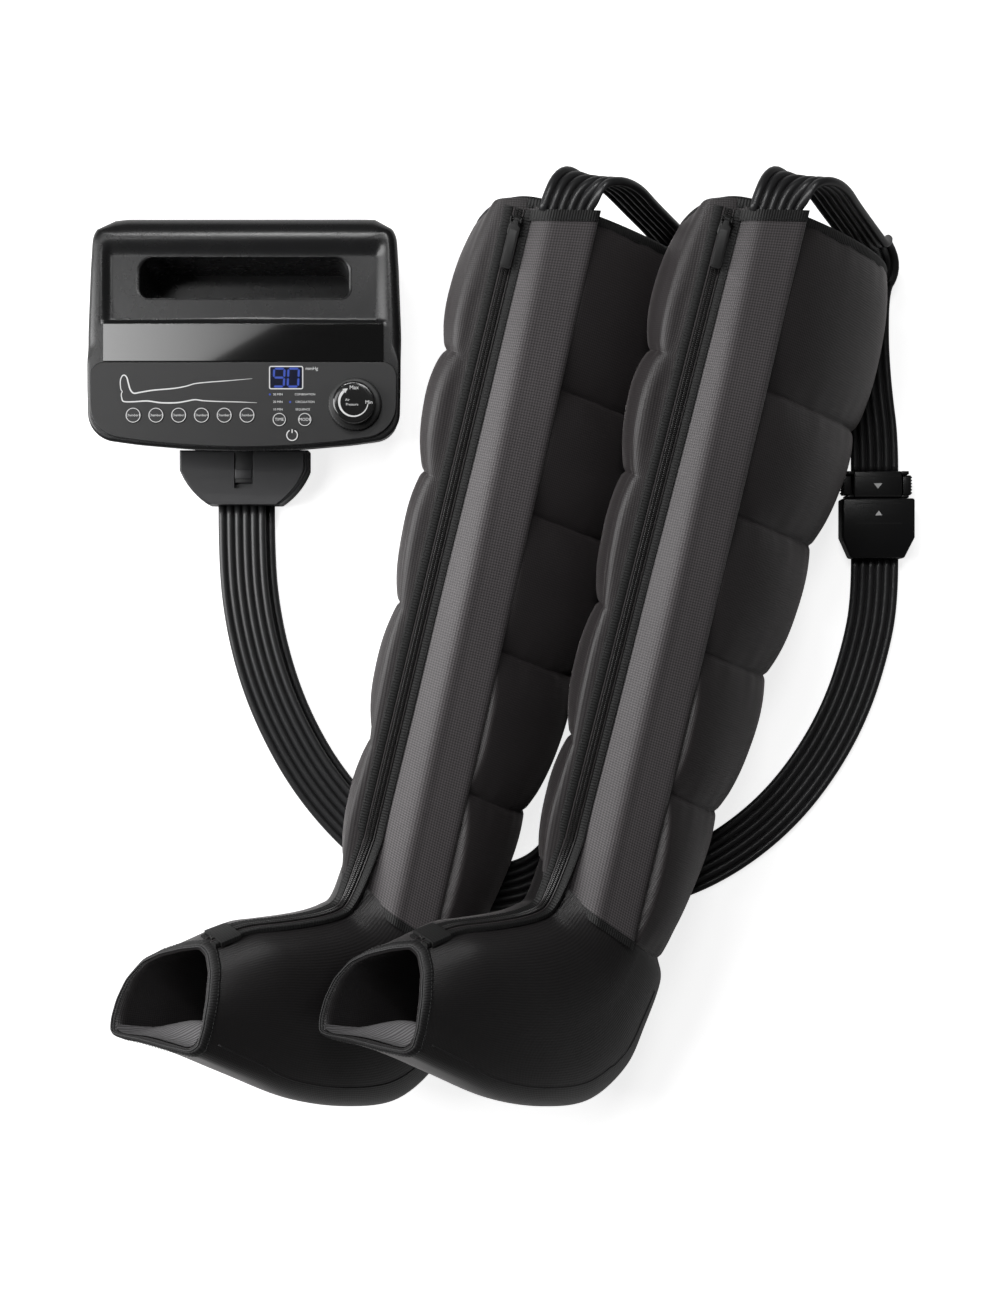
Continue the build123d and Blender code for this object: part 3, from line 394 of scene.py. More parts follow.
console_plastic = plastic("console_plastic", (0.007, 0.007, 0.0075), 0.40, 0.000015, 2500.0)
gloss_plastic = plastic("gloss_plastic", (0.004, 0.004, 0.004), 0.06,
                        **{"Coat Weight": 0.6, "Coat Roughness": 0.03})
knob_plastic = plastic("knob_plastic", (0.012, 0.012, 0.012), 0.14,
                       **{"Coat Weight": 0.5, "Coat Roughness": 0.05})
ring_plastic = plastic("ring_plastic", (0.010, 0.010, 0.010), 0.45)
key_plastic = plastic("key_plastic", (0.010, 0.010, 0.011), 0.38)
window_glass = plastic("window_glass", (0.010, 0.012, 0.030), 0.12)
plug_plastic = plastic("plug_plastic", (0.028, 0.028, 0.030), 0.42, 0.00004, 2200.0)
groove_plastic = plastic("groove_plastic", (0.012, 0.012, 0.013), 0.5)
joint_plastic = plastic("joint_plastic", (0.006, 0.006, 0.0065), 0.34, 0.00003, 2200.0)
print_white = plain("print_white", (0.78, 0.78, 0.78), 0.5)

led_blue = plain("led_blue", (0.015, 0.05, 0.30), 0.4, **{"Emission Color": (0.02, 0.09, 0.9, 1),
                                                        "Emission Strength": 0.16})
board_green = plastic("board_green", (0.012, 0.10, 0.035), 0.4)
inner_metal = plastic("inner_metal", (0.45, 0.45, 0.47), 0.35, Metallic=1.0)
inner_plastic = plastic("inner_plastic", (0.60, 0.60, 0.58), 0.5)
foot_rubber = plastic("foot_rubber", (0.012, 0.012, 0.012), 0.8, 0.00006, 1500.0)
screw_metal = plastic("screw_metal", (0.4, 0.4, 0.4), 0.3, Metallic=1.0)


kept_nodes = ((case_plastic, "lower_case outlet_socket"), (console_plastic, "console_panel"),
              (gloss_plastic, "gloss_band"), (window_glass, "display_window"), (board_green, "main_board"),
              (inner_metal, "compressor"), (foot_rubber, "compressor_mounts rubber_feet"),
              (inner_plastic, "valve_block"), (screw_metal, "case_screws"), (ring_plastic, "power_jack"),
              (plug_plastic, "plug_body plug_cover"), (key_plastic, "time_key mode_key power_key"),
              (key_plastic, " ".join(f"chamber_key_{number}" for number in range(1, 7))))
for kept_material, node_names in kept_nodes:
    for node_name in node_names.split():
        node_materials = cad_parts[node_name].data.materials
        node_materials.clear()
        node_materials.append(kept_material)


# ---- Camera, light and floor ------------
camera_height = 1.8
card_height = 1.85


def stage_face(name, corners, location, material):
    """A flat face that belongs to the studio and not to the object."""
    mesh = bpy.data.meshes.new(name)
    mesh.from_pydata([(x, y, 0) for x, y in corners], [], [(0, 1, 2, 3)])
    mesh.materials.append(material)
    made = linked(name, mesh, location)
    return made


def reflected_card():
    """The card above the camera that the glossy strip on the pump mirrors, brighter to the left."""
    glow = Shader("card_glow", (0, 0, 0), 1.0)
    across = glow.node("SeparateXYZ", {0: glow.coordinates("Object")}).outputs[0]
    glow.surface(glow.glow(glow.ramp(across, 7.0, 1.6, -0.80, -0.42)))
    card = stage_face("card", ((-1.0, 0.50), (-0.643, 0.50), (-0.306, 0.69), (-1.0, 0.69)),
                      (0, 0, card_height), glow.material)
    card.visible_camera = card.visible_diffuse = card.visible_shadow = False


def white_floor():
    """The floor, which glows a little for the camera so that it's white."""
    white = Shader("floor_white", (0.80, 0.80, 0.80), 0.9)
    ray = white.node("LightPath").outputs["Is Camera Ray"]
    # far from the object the lamps fade, and the floor's own glow makes up for it
    far = white.node("VectorMath", {0: white.coordinates("Object")}, operation="LENGTH").outputs["Value"]
    glow = white.glow(white.math("MULTIPLY", ray, white.ramp(far, 0.80, 1.0, 0.7, 1.7)))
    white.surface(white.node("AddShader", {0: white.main.outputs[0], 1: glow}).outputs[0])
    stage_face("floor", ((-7, -7), (7, -7), (7, 7), (-7, 7)), (0, 0, -0.0004), white.material)


def lamp(name, at, aim, size, power):
    """A rectangular lamp at a place, turned towards another."""
    data = bpy.data.lights.new(name, "AREA")
    data.shape = "RECTANGLE"
    data.size, data.size_y = size
    data.energy = power
    made = linked(name, data, at)
    made.rotation_euler = (Vector(aim) - Vector(at)).to_track_quat("-Z", "Y").to_euler()


def white_world():
    """A world that is white for the camera and faint as light."""
    world = bpy.data.worlds.new("studio")
    bpy.context.scene.world = world
    world.use_nodes = True
    tree = world.node_tree
    path = tree.nodes.new("ShaderNodeLightPath")
    ramp = tree.nodes.new("ShaderNodeMapRange")
    Shader.set(ramp, {"To Min": 0.06, "To Max": 1.0})
    tree.links.new(path.outputs["Is Camera Ray"], ramp.inputs["Value"])
    tree.links.new(ramp.outputs[0], tree.nodes["Background"].inputs["Strength"])
    Shader.set(tree.nodes["Background"], {"Color": (1, 1, 1, 1)})


def studio():
    """The white floor, the world, the lamps and the camera above the middle of the layout."""
    white_floor()
    white_world()
    lamp("key", (-1.8, 0.3, 1.15), (0, 0, 0.1), (0.9, 2.4), 48)
    lamp("high", (0.1, 1.05, 1.85), (0.05, -0.05, 0.1), (0.5, 0.5), 7)
    lamp("rear", (-0.47, 1.33, 1.85), (-0.226, 0.4, 0.09), (0.52, 0.08), 8)
    reflected_card()
    bpy.context.scene.view_settings.view_transform = "Standard"

    data = bpy.data.cameras.new("camera")
    data.sensor_width = 36.0
    data.lens = 51.18
    data.clip_start, data.clip_end = 0.05, 50.0
    bpy.context.scene.camera = linked("camera", data, (*(layout_shift[:2] * MM), camera_height))


studio()

# ---- Boots ------------
columns = 208
angles = np.linspace(0, tau, columns, endpoint=False)
seam_middles = [205.0, 335.0, 463.0, 586.0, 697.0]
seam_slants = [35.0, 22.0, 18.0, 14.0, 11.0]
# The shaft's forward shift, half depth and half width, by height.
profile_heights = [40.0, 200.0, 332.0, 461.0, 585.0, 697.0, 851.0]
profiles = [(32.0, 38.0, 18.0, 9.0, 0.5, -8.0, -5.0), (62.0, 70.0, 87.0, 103.0, 119.5, 136.0, 126.0),
            (50.0, 62.0, 65.0, 65.0, 65.0, 65.0, 65.0)]
puff_depth = 9.0
wall, rim_wall, rim_taper = 18.0, 5.0, 60.0
lining_foot_height = 190.0
zip_depth = -2.6
zip_rim_gap, slider_rim_gap = 15.0, 40.0
shoe_wall, sole_thickness = 6.0, 7.0
# How far the rim lies below its highest place, round the boot from its front.
rim_places = [-180, -120, -60, -25, 0, 15, 28, 60, 100, 155, 180]
rim_drops = [19.0, 24.0, 29.0, 33.0, 17.0, 7.0, 4.0, 5.0, 9.0, 15.0, 19.0]


def profile_at(height):
    """The shaft's forward shift, half depth and half width at a height."""
    return [np.interp(height, profile_heights, values) for values in profiles]


def oval(shift, depth, width):
    """Forward and sideways places round the boot."""
    return shift + depth * np.cos(angles), width * np.sin(angles)


def boot_points(sole, height, ahead, aside):
    """Points of a boot from height, forward and sideways places."""
    height, ahead, aside = (np.asarray(value, dtype=float)[..., None] for value in (height, ahead, aside))
    return sole + shaft_axis * height + forward * ahead + sideways * aside


def rim_top(angle):
    """The height of the rim, which hangs lower at the front left and at the back."""
    degrees = (np.degrees(angle) + 180) % 360 - 180
    spread = [np.interp((degrees + step + 180) % 360 - 180, rim_places, rim_drops) for step in range(-12, 13, 4)]
    return rim_height - np.mean(spread, axis=0)


def seam_height(index, angle):
    """The height of a seam, which is higher at the front left than at the back right."""
    if index == len(seam_middles):
        return rim_top(angle)
    lean = (100 * np.cos(angle) - 65 * np.sin(angle)) / 119.3
    return seam_middles[index] + seam_slants[index] * lean


def line_at(height, low, high):
    """The forward and sideways place of a straight line on the boot, at one height."""
    low, high = np.array(low), np.array(high)
    return (low + (high - low) * (height - low[0]) / (high[0] - low[0]))[1:]


zip_left, zip_up = np.array([1.0, -1.0]) / 2 ** 0.5, np.array([1.0, 1.0]) / 2 ** 0.5
cover_left = np.array([sin(cover_tilt), -cos(cover_tilt)])
cover_up = np.array([cos(cover_tilt), sin(cover_tilt)])


def zip_place(height, left, up):
    """A place beside the zip: to its left, and out of the boot."""
    return line_at(height, zip_low, zip_high) + zip_left * left + zip_up * up


def cover_place(height, left, up):
    """A place beside the cover's middle: to its left, and out of its face."""
    face = np.interp(height, [212.0, 520.0], [-1.0, 5.0])
    return line_at(height, cover_low, cover_high) + cover_left * left + cover_up * (up + face)


# Lines across the boot: from which middle, how far to its left, and how far outward.
# The cover's face, from under the zip's tape to the fold on its right.
cover_section = ((zip_place, -8.5, -1.2), (zip_place, -13.0, 0.3), (cover_place, 14.0, -0.5),
                 (cover_place, 0.0, 0.3), (cover_place, -15.0, 0.0), (cover_place, -25.0, -0.4),
                 (cover_place, -29.4, -2.4), (cover_place, -31.0, -6.0), (cover_place, -30.6, -10.0))
# The line that the cloth keeps under, beneath the zip and the cover.
bed_section = ((zip_place, 42.0, 22.0), (zip_place, 27.0, 4.0), (zip_place, 19.0, -2.6), (zip_place, -9.0, -3.6),
               (zip_place, -14.0, -3.0), (cover_place, 14.0, -4.2), (cover_place, 0.0, -3.6),
               (cover_place, -25.0, -4.2), (cover_place, -30.0, -4.6), (cover_place, -35.0, 2.0),
               (cover_place, -43.0, 12.0))
# The plane of the zip, which the cloth beside it takes on.
zip_plane = tuple((zip_place, left, zip_depth) for left in (52.0, 30.0, 15.0, 0.0, -17.0))


def section_at(section, height):
    """The places of a line across the boot, at one height."""
    return [place(height, left, up) for place, left, up in section]


def direction(height, left, shift):
    """The direction from the boot's middle of a place beside the zip."""
    ahead, aside = np.transpose([zip_place(h, left, zip_depth) for h in height])
    return np.arctan2(aside, ahead - shift)


def radius_at(section, height, angle, centre):
    """The distance of a section's line from the boot's middle, in the direction of an angle."""
    result = np.full(angle.shape, np.inf)
    for index in np.ndindex(angle.shape):
        line = np.array(section_at(section, height[index])) - [centre[index], 0.0]
        around = np.arctan2(line[:, 1], line[:, 0])
        if around[0] <= angle[index] <= around[-1]:
            result[index] = np.interp(angle[index], around, np.hypot(line[:, 0], line[:, 1]))
    return result


def puff(height, angle):
    """How far a chamber stands out at one place, with small puckers along its seams."""
    result = np.zeros(np.broadcast(height, angle).shape)
    for index in range(len(seam_middles)):
        low, high = seam_height(index, angle), seam_height(index + 1, angle)
        share = np.clip((height - low) / (high - low), 0, 1)
        inside = (height >= low) & (height <= high)
        swell = 1 - np.abs(2 * share - 1) ** 2.5
        around = angle * 100.0
        edge = np.minimum(height - low, high - height).clip(0)
        fold = (np.sin(around * tau / 31.0 + index * 1.7) + 0.7 * np.sin(around * tau / 19.0 + index * 2.9)
                + 0.5 * np.sin(around * tau / 47.0 + index))
        crease = -1.3 * np.exp(-(edge / 2.2) ** 2)
        slow = 0.8 * np.sin(around * tau / 150.0 + index * 2.0 + share * 3.0)
        result = np.where(inside, puff_depth * swell + 0.5 * np.exp(-edge / 13.0) * fold * swell ** 0.3
                          + crease + slow * swell, result)
    return result


def outer_skin(height, angle):
    """The forward and sideways place of the boot's outer cloth."""
    shift, depth, width = profile_at(height)
    swell = puff(height, angle)
    normal = np.stack([np.cos(angle) / depth, np.sin(angle) / width])
    normal = normal / np.sqrt((normal ** 2).sum(axis=0))
    ahead = depth * np.cos(angle) + swell * normal[0]
    aside = width * np.sin(angle) + swell * normal[1]
    radius, around = np.hypot(ahead, aside), np.arctan2(aside, ahead)
    plane = radius_at(zip_plane, height, around, shift)
    far, near = direction(height, 44.0, shift), direction(height, 14.0, shift)
    inner, end = direction(height, -12.0, shift), direction(height, -16.0, shift)
    follow = smooth_step((around - far) / (near - far)) * smooth_step((end - around) / (end - inner))
    follow = follow * np.isfinite(plane) * (1 - smooth_step((around - near) / (far - near))
                                            * smooth_step((290 - height) / 70))
    radius = np.where(follow > 0, radius * (1 - follow) + np.where(np.isfinite(plane), plane, 0) * follow, radius)
    radius = np.minimum(radius, radius_at(bed_section, height, around, shift))
    return shift + radius * np.cos(around), radius * np.sin(around)


# The foot's rings: instep place, sole place, half width above and below, sideways shift, squareness,
# and how much further the far half reaches, which the foot lies on.
foot_rings = [((112, 212), (-36, 140), 60, 56, 0, 2.1, 6), ((122, 204), (-34, 92), 59, 50, 0, 2.2, 12),
              ((140, 198), (-24, 52), 57, 46, 0, 2.4, 14), ((162, 193), (14, 22), 55, 46, -3, 2.6, 12),
              ((186, 188), (75, 20), 53, 50, -8, 2.8, 8), ((207, 184), (140, 31), 51, 51, -13, 2.8, 4)]
# The toe opening, point by point (forward, height, sideways), from the instep round by the right.
toe_edge = [(248.1, 168.2, -14.0), (246.6, 164.4, -4.0), (247.8, 151.6, 7.0), (251.4, 129.9, 17.1),
            (255.9, 106.7, 24.9), (259.5, 91.6, 27.4), (263.0, 84.7, 21.8), (269.0, 80.3, -2.1),
            (277.1, 76.0, -32.8), (283.0, 71.6, -54.0), (285.4, 71.9, -63.5), (283.5, 83.1, -69.2),
            (279.9, 99.0, -72.3), (274.8, 118.5, -71.6), (268.0, 137.2, -64.0), (261.5, 149.3, -51.1),
            (254.3, 160.8, -31.5)]
foot_row_count = 84


def foot_ring(top, bottom, half_top, half_bottom, shift, power, far, inset=0.0, lift=0.0):
    """One ring round the foot, between a point of the instep and one of the sole."""
    top, bottom = np.array(top, dtype=float), np.array(bottom, dtype=float)
    middle, reach = (top + bottom) / 2, (top - bottom) / 2
    length = np.linalg.norm(reach)
    up = reach / length
    cosine, sine = np.cos(angles), np.sin(angles)
    power_here = np.where(cosine < 0, power + 0.7, power - 0.2)
    along = np.sign(cosine) * np.abs(cosine) ** (2 / power_here)
    across = np.sign(sine) * np.abs(sine) ** (2 / power_here)
    rise = np.where(along < 0, along * (length - inset - lift), along * (length - inset))
    half = half_bottom + (half_top - half_bottom) * (along + 1) / 2 - inset + far * (sine < 0)
    return np.stack([middle[0] + up[0] * rise, middle[1] + up[1] * rise, shift + across * half], axis=1)


def toe_ring(inset=0.0):
    """The ring of the toe opening, set in from its edge."""
    edge = np.array(toe_edge)
    closed = np.vstack([edge, edge[:1]])
    steps = distances(closed)
    # the ring's angles are spread so that the sole's corners meet those of the foot
    anchors = np.interp([0, 5, 10, 17], np.arange(len(closed)), steps)
    ring = sample(np.interp(np.degrees(angles), [0, 128, 232, 360], anchors), steps, closed)
    for _ in range(6):
        ring = (np.roll(ring, 1, axis=0) + 2 * ring + np.roll(ring, -1, axis=0)) / 4
    middle = ring.mean(axis=0)
    reach = middle - ring
    return ring + reach / np.linalg.norm(reach, axis=1, keepdims=True) * inset


def foot_surface():
    """Rows of (forward, height, sideways) from the ankle seam to the toe opening."""
    start = seam_height(0, angles)
    ahead, aside = outer_skin(start, angles)
    rings = [np.stack([ahead, start, aside], axis=1)]
    rings += [foot_ring(*ring) for ring in foot_rings]
    rings += [0.52 * rings[-1] + 0.48 * toe_ring(inset=-2.0), toe_ring()]
    return curve_through(rings, foot_row_count)


def shaft_rows(sole, bed_z):
    """Rows of points up the outside of the shaft and down its inside."""
    rows = []
    for index in range(len(seam_middles)):
        low, high = seam_height(index, angles), seam_height(index + 1, angles)
        for share in (1 - np.cos(np.linspace(0, pi, 30)))[1 if index else 0:] / 2:
            height = low + (high - low) * share
            points = boot_points(sole, height, *outer_skin(height, angles))
            points[:, 2] = np.maximum(points[:, 2], bed_z if index == 0 else 0.6)
            rows.append(points)
    top = rim_top(angles)
    for share in np.linspace(0, 1, 70):
        height = top + (lining_foot_height - top) * share
        thick = rim_wall + (wall - rim_wall) * smooth_step((top - height) / rim_taper)
        shift, depth, width = profile_at(height)
        thick = thick + 1.5 * np.abs(np.sin((height - 205) / 128 * pi)) * smooth_step((top - height) / rim_taper)
        rows.append(boot_points(sole, height, *oval(shift, depth - thick, width - thick)))
    return rows


def foot_points(sole, rows):
    """Boot points from rows of (forward, height, sideways)."""
    return boot_points(sole, rows[..., 1], rows[..., 0], rows[..., 2])


def row_normals(rows):
    """Outward normals of a closed tube of rows."""
    along = np.gradient(rows, axis=0)
    across = np.roll(rows, -1, axis=1) - np.roll(rows, 1, axis=1)
    normals = unit(np.cross(across, along))
    middle = rows.mean(axis=1, keepdims=True)
    flip = np.sign((normals * (rows - middle)).sum(axis=-1, keepdims=True))
    return normals * np.where(flip == 0, 1, flip)


def stitches(name, line, normals):
    """Short threads along a line."""
    pitch, length, radius, lift = 3.4, 2.1, 0.32, 0.4
    steps = distances(line)
    vertices, faces = [], []
    for start in np.arange(pitch, steps[-1] - pitch, pitch):
        ends = [sample(at, steps, line) for at in (start, start + length)]
        normal = unit(sample(start, steps, normals))
        side = unit(np.cross(unit(ends[1] - ends[0]), normal)) * radius
        base = len(vertices)
        for end in ends:
            vertices += [end - side, end + side, end + normal * lift + side * 0.6, end + normal * lift - side * 0.6]
        faces += [(base, base + 1, base + 2, base + 3), (base + 4, base + 7, base + 6, base + 5)]
        faces += [(base + n, base + 4 + n, base + 4 + (n + 1) % 4, base + (n + 1) % 4) for n in range(4)]
    piece(name, vertices, faces, thread, smooth=False)


def zip_route(sole, foot_rows, foot_normals):
    """Points, normals and sideways directions of the zip, from the rim to the toe opening."""
    points, normals = [], []
    for height in np.linspace(rim_height - zip_rim_gap, 262, 120):
        ahead, aside = line_at(height, zip_low, zip_high)
        points.append(boot_points(sole, height, ahead, aside))
        normals.append(forward * zip_up[0] + sideways * zip_up[1])
    rows = foot_points(sole, foot_rows)
    first, last = 9, len(rows) - 4
    for index in range(first, last + 1):
        share = (index - first) / (last - first)
        angle = radians(5.0) * (1 - share)
        column = angle / tau * columns
        low = int(column)
        point = rows[index][low] * (1 - column + low) + rows[index][low + 1] * (column - low)
        normal = foot_normals[index][low]
        points.append(point + normal * 2.4)
        normals.append(normal)
    points, normals = np.array(points), np.array(normals)
    for _ in range(40):
        # the straight run keeps its place, and the bend at the ankle is evened out
        points[118:-1] = (points[117:-2] + 2 * points[118:-1] + points[119:]) / 4
        normals[100:-1] = unit(normals[99:-2] + 2 * normals[100:-1] + normals[101:])
    tangents = unit(np.gradient(points, axis=0))
    normals = unit(normals - tangents * (normals * tangents).sum(axis=1, keepdims=True))
    return points, normals, np.cross(normals, -tangents)


def strip(name, route, profile, material, first=0, last=None):
    """A closed profile of (left, up) pairs swept along the zip's route."""
    points, normals, lefts = (values[first:last] for values in route)
    return sweep(name, points, lefts, normals, profile, material, caps=True, sharp=45, slot="zip")


def teeth(name, route):
    """Two rows of small interlocking teeth along the zip."""
    steps = distances(route[0])
    vertices, faces = [], []
    tooth_pitch = 1.7
    for at in np.arange(2.0, steps[-1] - 2.0, tooth_pitch):
        point, normal, left = (sample(at, steps, values) for values in route)
        tangent = np.cross(left, normal)
        for side in (-1, 1):
            middle = point + left * side * 1.45 + tangent * (0.42 * side)
            base = len(vertices)
            for up, reach, breadth in ((-1.0, 1.3, 0.62), (0.75, 1.3, 0.62), (1.25, 0.8, 0.38)):
                for a, b in ((-1, -1), (1, -1), (1, 1), (-1, 1)):
                    vertices.append(middle + left * a * reach + tangent * b * breadth + normal * up)
            for layer in (0, 4):
                faces += [(base + layer + n, base + layer + (n + 1) % 4, base + layer + 4 + (n + 1) % 4,
                           base + layer + 4 + n) for n in range(4)]
            faces += [(base + 8, base + 9, base + 10, base + 11), (base + 3, base + 2, base + 1, base)]
    piece(name, vertices, faces, zip_teeth, smooth=False, slot="zip")


def build_cover(sole, side):
    """The straight woven cover over the tubes, with bound top and hemmed lower end."""
    outward = forward * cover_up[0] + sideways * cover_up[1]
    # the cover ends a little above the ankle's seam and below the rim
    face_count, low, high = 40, 199, rim_height - 9
    numbers = np.arange(face_count)
    rows = []
    for share in np.linspace(0, 1, 120):
        middle = low + (high - low) * share
        face = curve_through(section_at(cover_section, middle), face_count)
        under = [face[-1] + cover_left * 2, cover_place(middle, 0.0, -7.0), cover_place(middle, 14.0, -8.0),
                 zip_place(middle, -9.0, -4.0)]
        left = (face - cover_place(middle, 0.0, 0.0)) @ cover_left
        lean = 0.43 * left * (1 - share) ** 4 - 0.24 * left * share ** 6
        ripple = 0.25 * np.sin(middle / 37.0 + numbers * 0.1) + 0.2 * np.sin(middle / 61.0 - numbers * 0.15)
        under_lean = np.interp(range(4), [0, 3], [lean[-1], lean[0]])
        rows.append(np.vstack([boot_points(sole, middle + lean, *face.T) + outward * ripple[:, None],
                               boot_points(sole, middle + under_lean, *np.transpose(under))]))
    made = grid(f"{side}_cover_panel", rows, cover_cloth, wrap_cols=True, caps=True, slot="cover_fabric")
    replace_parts(made, f"{side}_hose_cover")
    for label, end, up_from, up_to, seam_up in (("top", -1, -8.0, 1.6, -6.4), ("hem", 0, -0.6, 7.0, 5.4)):
        line = rows[end][2:face_count - 1]
        band = [(0.2, up_from), (0.9, up_from), (0.9, up_to), (0.2, up_to)]
        sweep(f"{side}_cover_{label}_band", line, outward, shaft_axis, band, binding_tape, caps=True, sharp=40,
              slot="cover_fabric")
        stitches(f"{side}_cover_{label}_stitches", line + outward * 0.9 + shaft_axis * seam_up,
                 np.array([outward] * len(line)))


def build_sole_seam(sole, side, surface, normals):
    """The piped seam between the foot's upper and its sole, from the toe round the near side."""
    rows = foot_points(sole, surface)
    line, ups = [], []
    first, last = 14, len(rows) - 4
    for index in range(first, last + 1):
        share = (index - first) / (last + 1 - first)
        column = int(columns * (0.335 - 0.01 * share))
        line.append(rows[index][column])
        ups.append(normals[index][column])
    sweep(f"{side}_sole_piping", line, np.cross(ups, unit(np.gradient(line, axis=0))), ups,
          np.multiply(circle(1.0, 8), [0.9, 0.7]), piping_cord, caps=True, slot="foot_fabric")


def lining_rings(rings):
    """Rings of the foot, set in by the thickness of its wall and sole."""
    return [foot_ring(*ring, inset=shoe_wall, lift=sole_thickness) for ring in rings]


def near_toe(ring, inset):
    """A ring between the last ring of the foot and its toe opening."""
    return 0.52 * ring + 0.48 * toe_ring(inset=inset)


def build_shoe(sole, side, surface):
    """The open shoe, outside and inside."""
    inner = lining_rings(foot_rings[::-1])
    inner = [toe_ring(inset=5.0), near_toe(inner[0], 7.0)] + inner
    ahead, aside = oval(38.0, 70.0 - wall, 62.0 - wall)
    inner.append(np.stack([ahead, np.full(columns, 196.0), aside], axis=1))
    rows = np.concatenate([foot_points(sole, surface), foot_points(sole, curve_through(inner, 50))])
    rows[..., 2] = np.maximum(rows[..., 2], 1.6)
    foot = grid(f"{side}_shoe", rows, foot_cloth, wrap_rows=True, wrap_cols=True, slot="foot_fabric")
    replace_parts(foot, f"{side}_foot")


def build_insole(sole, side):
    """The padded insole: crowned inside, and down to the lip at the opening."""
    rings = lining_rings(foot_rings[2:])
    rings = curve_through(rings + [near_toe(rings[-1], 7.0), toe_ring(inset=6.0)], 48)
    first, last = 0.34, 0.66
    across = np.linspace(0, 1, 26)
    crown = 17.0 * (1 - (2 * across - 1) ** 2) ** 0.8 + 2.0
    rows = []
    for number, ring in enumerate(rings):
        inside = smooth_step((len(rings) - 1 - number) / 9.0)
        near, far = ring[int(columns * first)], ring[int(columns * last)]
        up = unit((ring[0] - (near + far) / 2)[:2])
        crowned = near + (far - near) * across[:, None] + np.outer(crown, [*up, 0])
        lip = ring[(columns * (first + (last - first) * across)).astype(int)]
        rows.append(crowned * inside + lip * (1 - inside))
    grid(f"{side}_insole", foot_points(sole, np.array(rows)), insole_cloth, slot="foot_fabric")


# Profiles of the bindings: outward and up.
rim_profile = [(1.0, -8), (1.5, -7.6), (1.9, -4), (1.7, 0), (0.6, 2.0), (-2.5, 2.8), (-5.6, 2.0),
               (-6.7, 0), (-6.9, -4), (-6.5, -7.6), (-6.0, -8), (-2.5, -7.6)]
toe_profile = [(0.2, -8), (0.7, -7.4), (1.0, -3), (0.7, 0.0), (-0.3, 1.0), (-1.6, 1.2), (-3.0, 0.8),
               (-4.0, -0.2), (-4.4, -3), (-4.2, -7.4), (-3.6, -8), (-1.6, -7.4)]


def build_bindings(sole, side, surface, normals):
    """The bound and stitched edges at the rim and at the toe opening."""
    shift, depth, width = (values[-1] for values in profiles)
    line = boot_points(sole, rim_top(angles), *oval(shift, depth, width))
    outward = unit(forward * (np.cos(angles) / depth)[:, None] + sideways * (np.sin(angles) / width)[:, None])
    sweep(f"{side}_rim_binding", line, outward, shaft_axis, rim_profile, binding_tape, wrap_rows=True,
          slot="shaft_fabric")
    stitches(f"{side}_rim_stitches", line + outward * 1.8 - shaft_axis * 6.2, outward)
    toe, outward = foot_points(sole, surface), normals[-2]
    ups = unit(toe[-1] - toe[-4])
    for label, profile, material in (("binding", toe_profile, toe_binding_tape),
                                     ("piping", circle(0.8, 8, (-1.6, 1.6)), piping_cord)):
        sweep(f"{side}_toe_{label}", toe[-1], outward, ups, profile, material, wrap_rows=True, slot="foot_fabric")
    stitches(f"{side}_toe_stitches", toe[-1] + outward - ups * 6.2, outward)


# The zip's strips: their profiles are to the left and up.
left_lip = [(5.2, -3.4), (5.0, -1.0), (4.4, -0.3), (3.6, -0.3), (3.3, -1.0), (3.2, -3.4)]
zip_strips = {
    "left_tape": (zip_tape, [(13.4, -3.6), (13.0, -1.4), (12.0, -0.9), (6.0, -0.4), (5.5, -0.8), (5.3, -3.6)]),
    "right_tape": (zip_tape, [(-5.3, -3.6), (-5.5, -0.6), (-6.2, -0.1), (-11.6, 0.5), (-12.4, 0.2),
                              (-12.6, -3.0)]),
    "left_lip": (shaft_cloth, left_lip), "right_lip": (shaft_cloth, [(-x, y) for x, y in left_lip]),
    "floor": (zip_tape, [(5.4, -3.6), (5.4, -1.7), (-5.4, -1.7), (-5.4, -3.6)])}
end_tab = [(-14.5, -3.6), (-14.5, 0.4), (-10.0, 1.7), (10.0, 1.7), (14.5, 0.4), (14.5, -3.6)]


def build_zip(sole, side, surface, normals):
    """The zip's tapes, lips, floor and teeth, and the tape over its end."""
    route = zip_route(sole, surface, normals)
    for label, (material, profile) in zip_strips.items():
        made = strip(f"{side}_zip_{label}", route, profile, material)
    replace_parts(made, f"{side}_zip_chain")
    teeth(f"{side}_zip_teeth", route)
    points, ups, lefts = route
    stitches(f"{side}_zip_stitches", points - lefts * 10.8 + ups * 0.4, ups)
    stitches(f"{side}_zip_far_stitches", points + lefts * 11.6 - ups * 0.9, ups)
    strip(f"{side}_zip_end_tab", route, end_tab, binding_tape, first=-12, last=-2)


def build_boot(side):
    """All soft pieces of one boot, with its zip, bindings and tab."""
    sole = soles[side]
    shaft = grid(f"{side}_shaft", shaft_rows(sole, bed_heights[side]), shaft_cloth, wrap_rows=True,
                 wrap_cols=True, slot="shaft_fabric")
    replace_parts(shaft, *[f"{side}_chamber_{number}" for number in range(1, 6)])
    surface = foot_surface()
    normals = row_normals(foot_points(sole, surface))
    build_shoe(sole, side, surface)
    build_bindings(sole, side, surface, normals)
    build_sole_seam(sole, side, surface, normals)
    build_insole(sole, side)
    build_zip(sole, side, surface, normals)
    build_slider(side, sole)
    build_cover(sole, side)


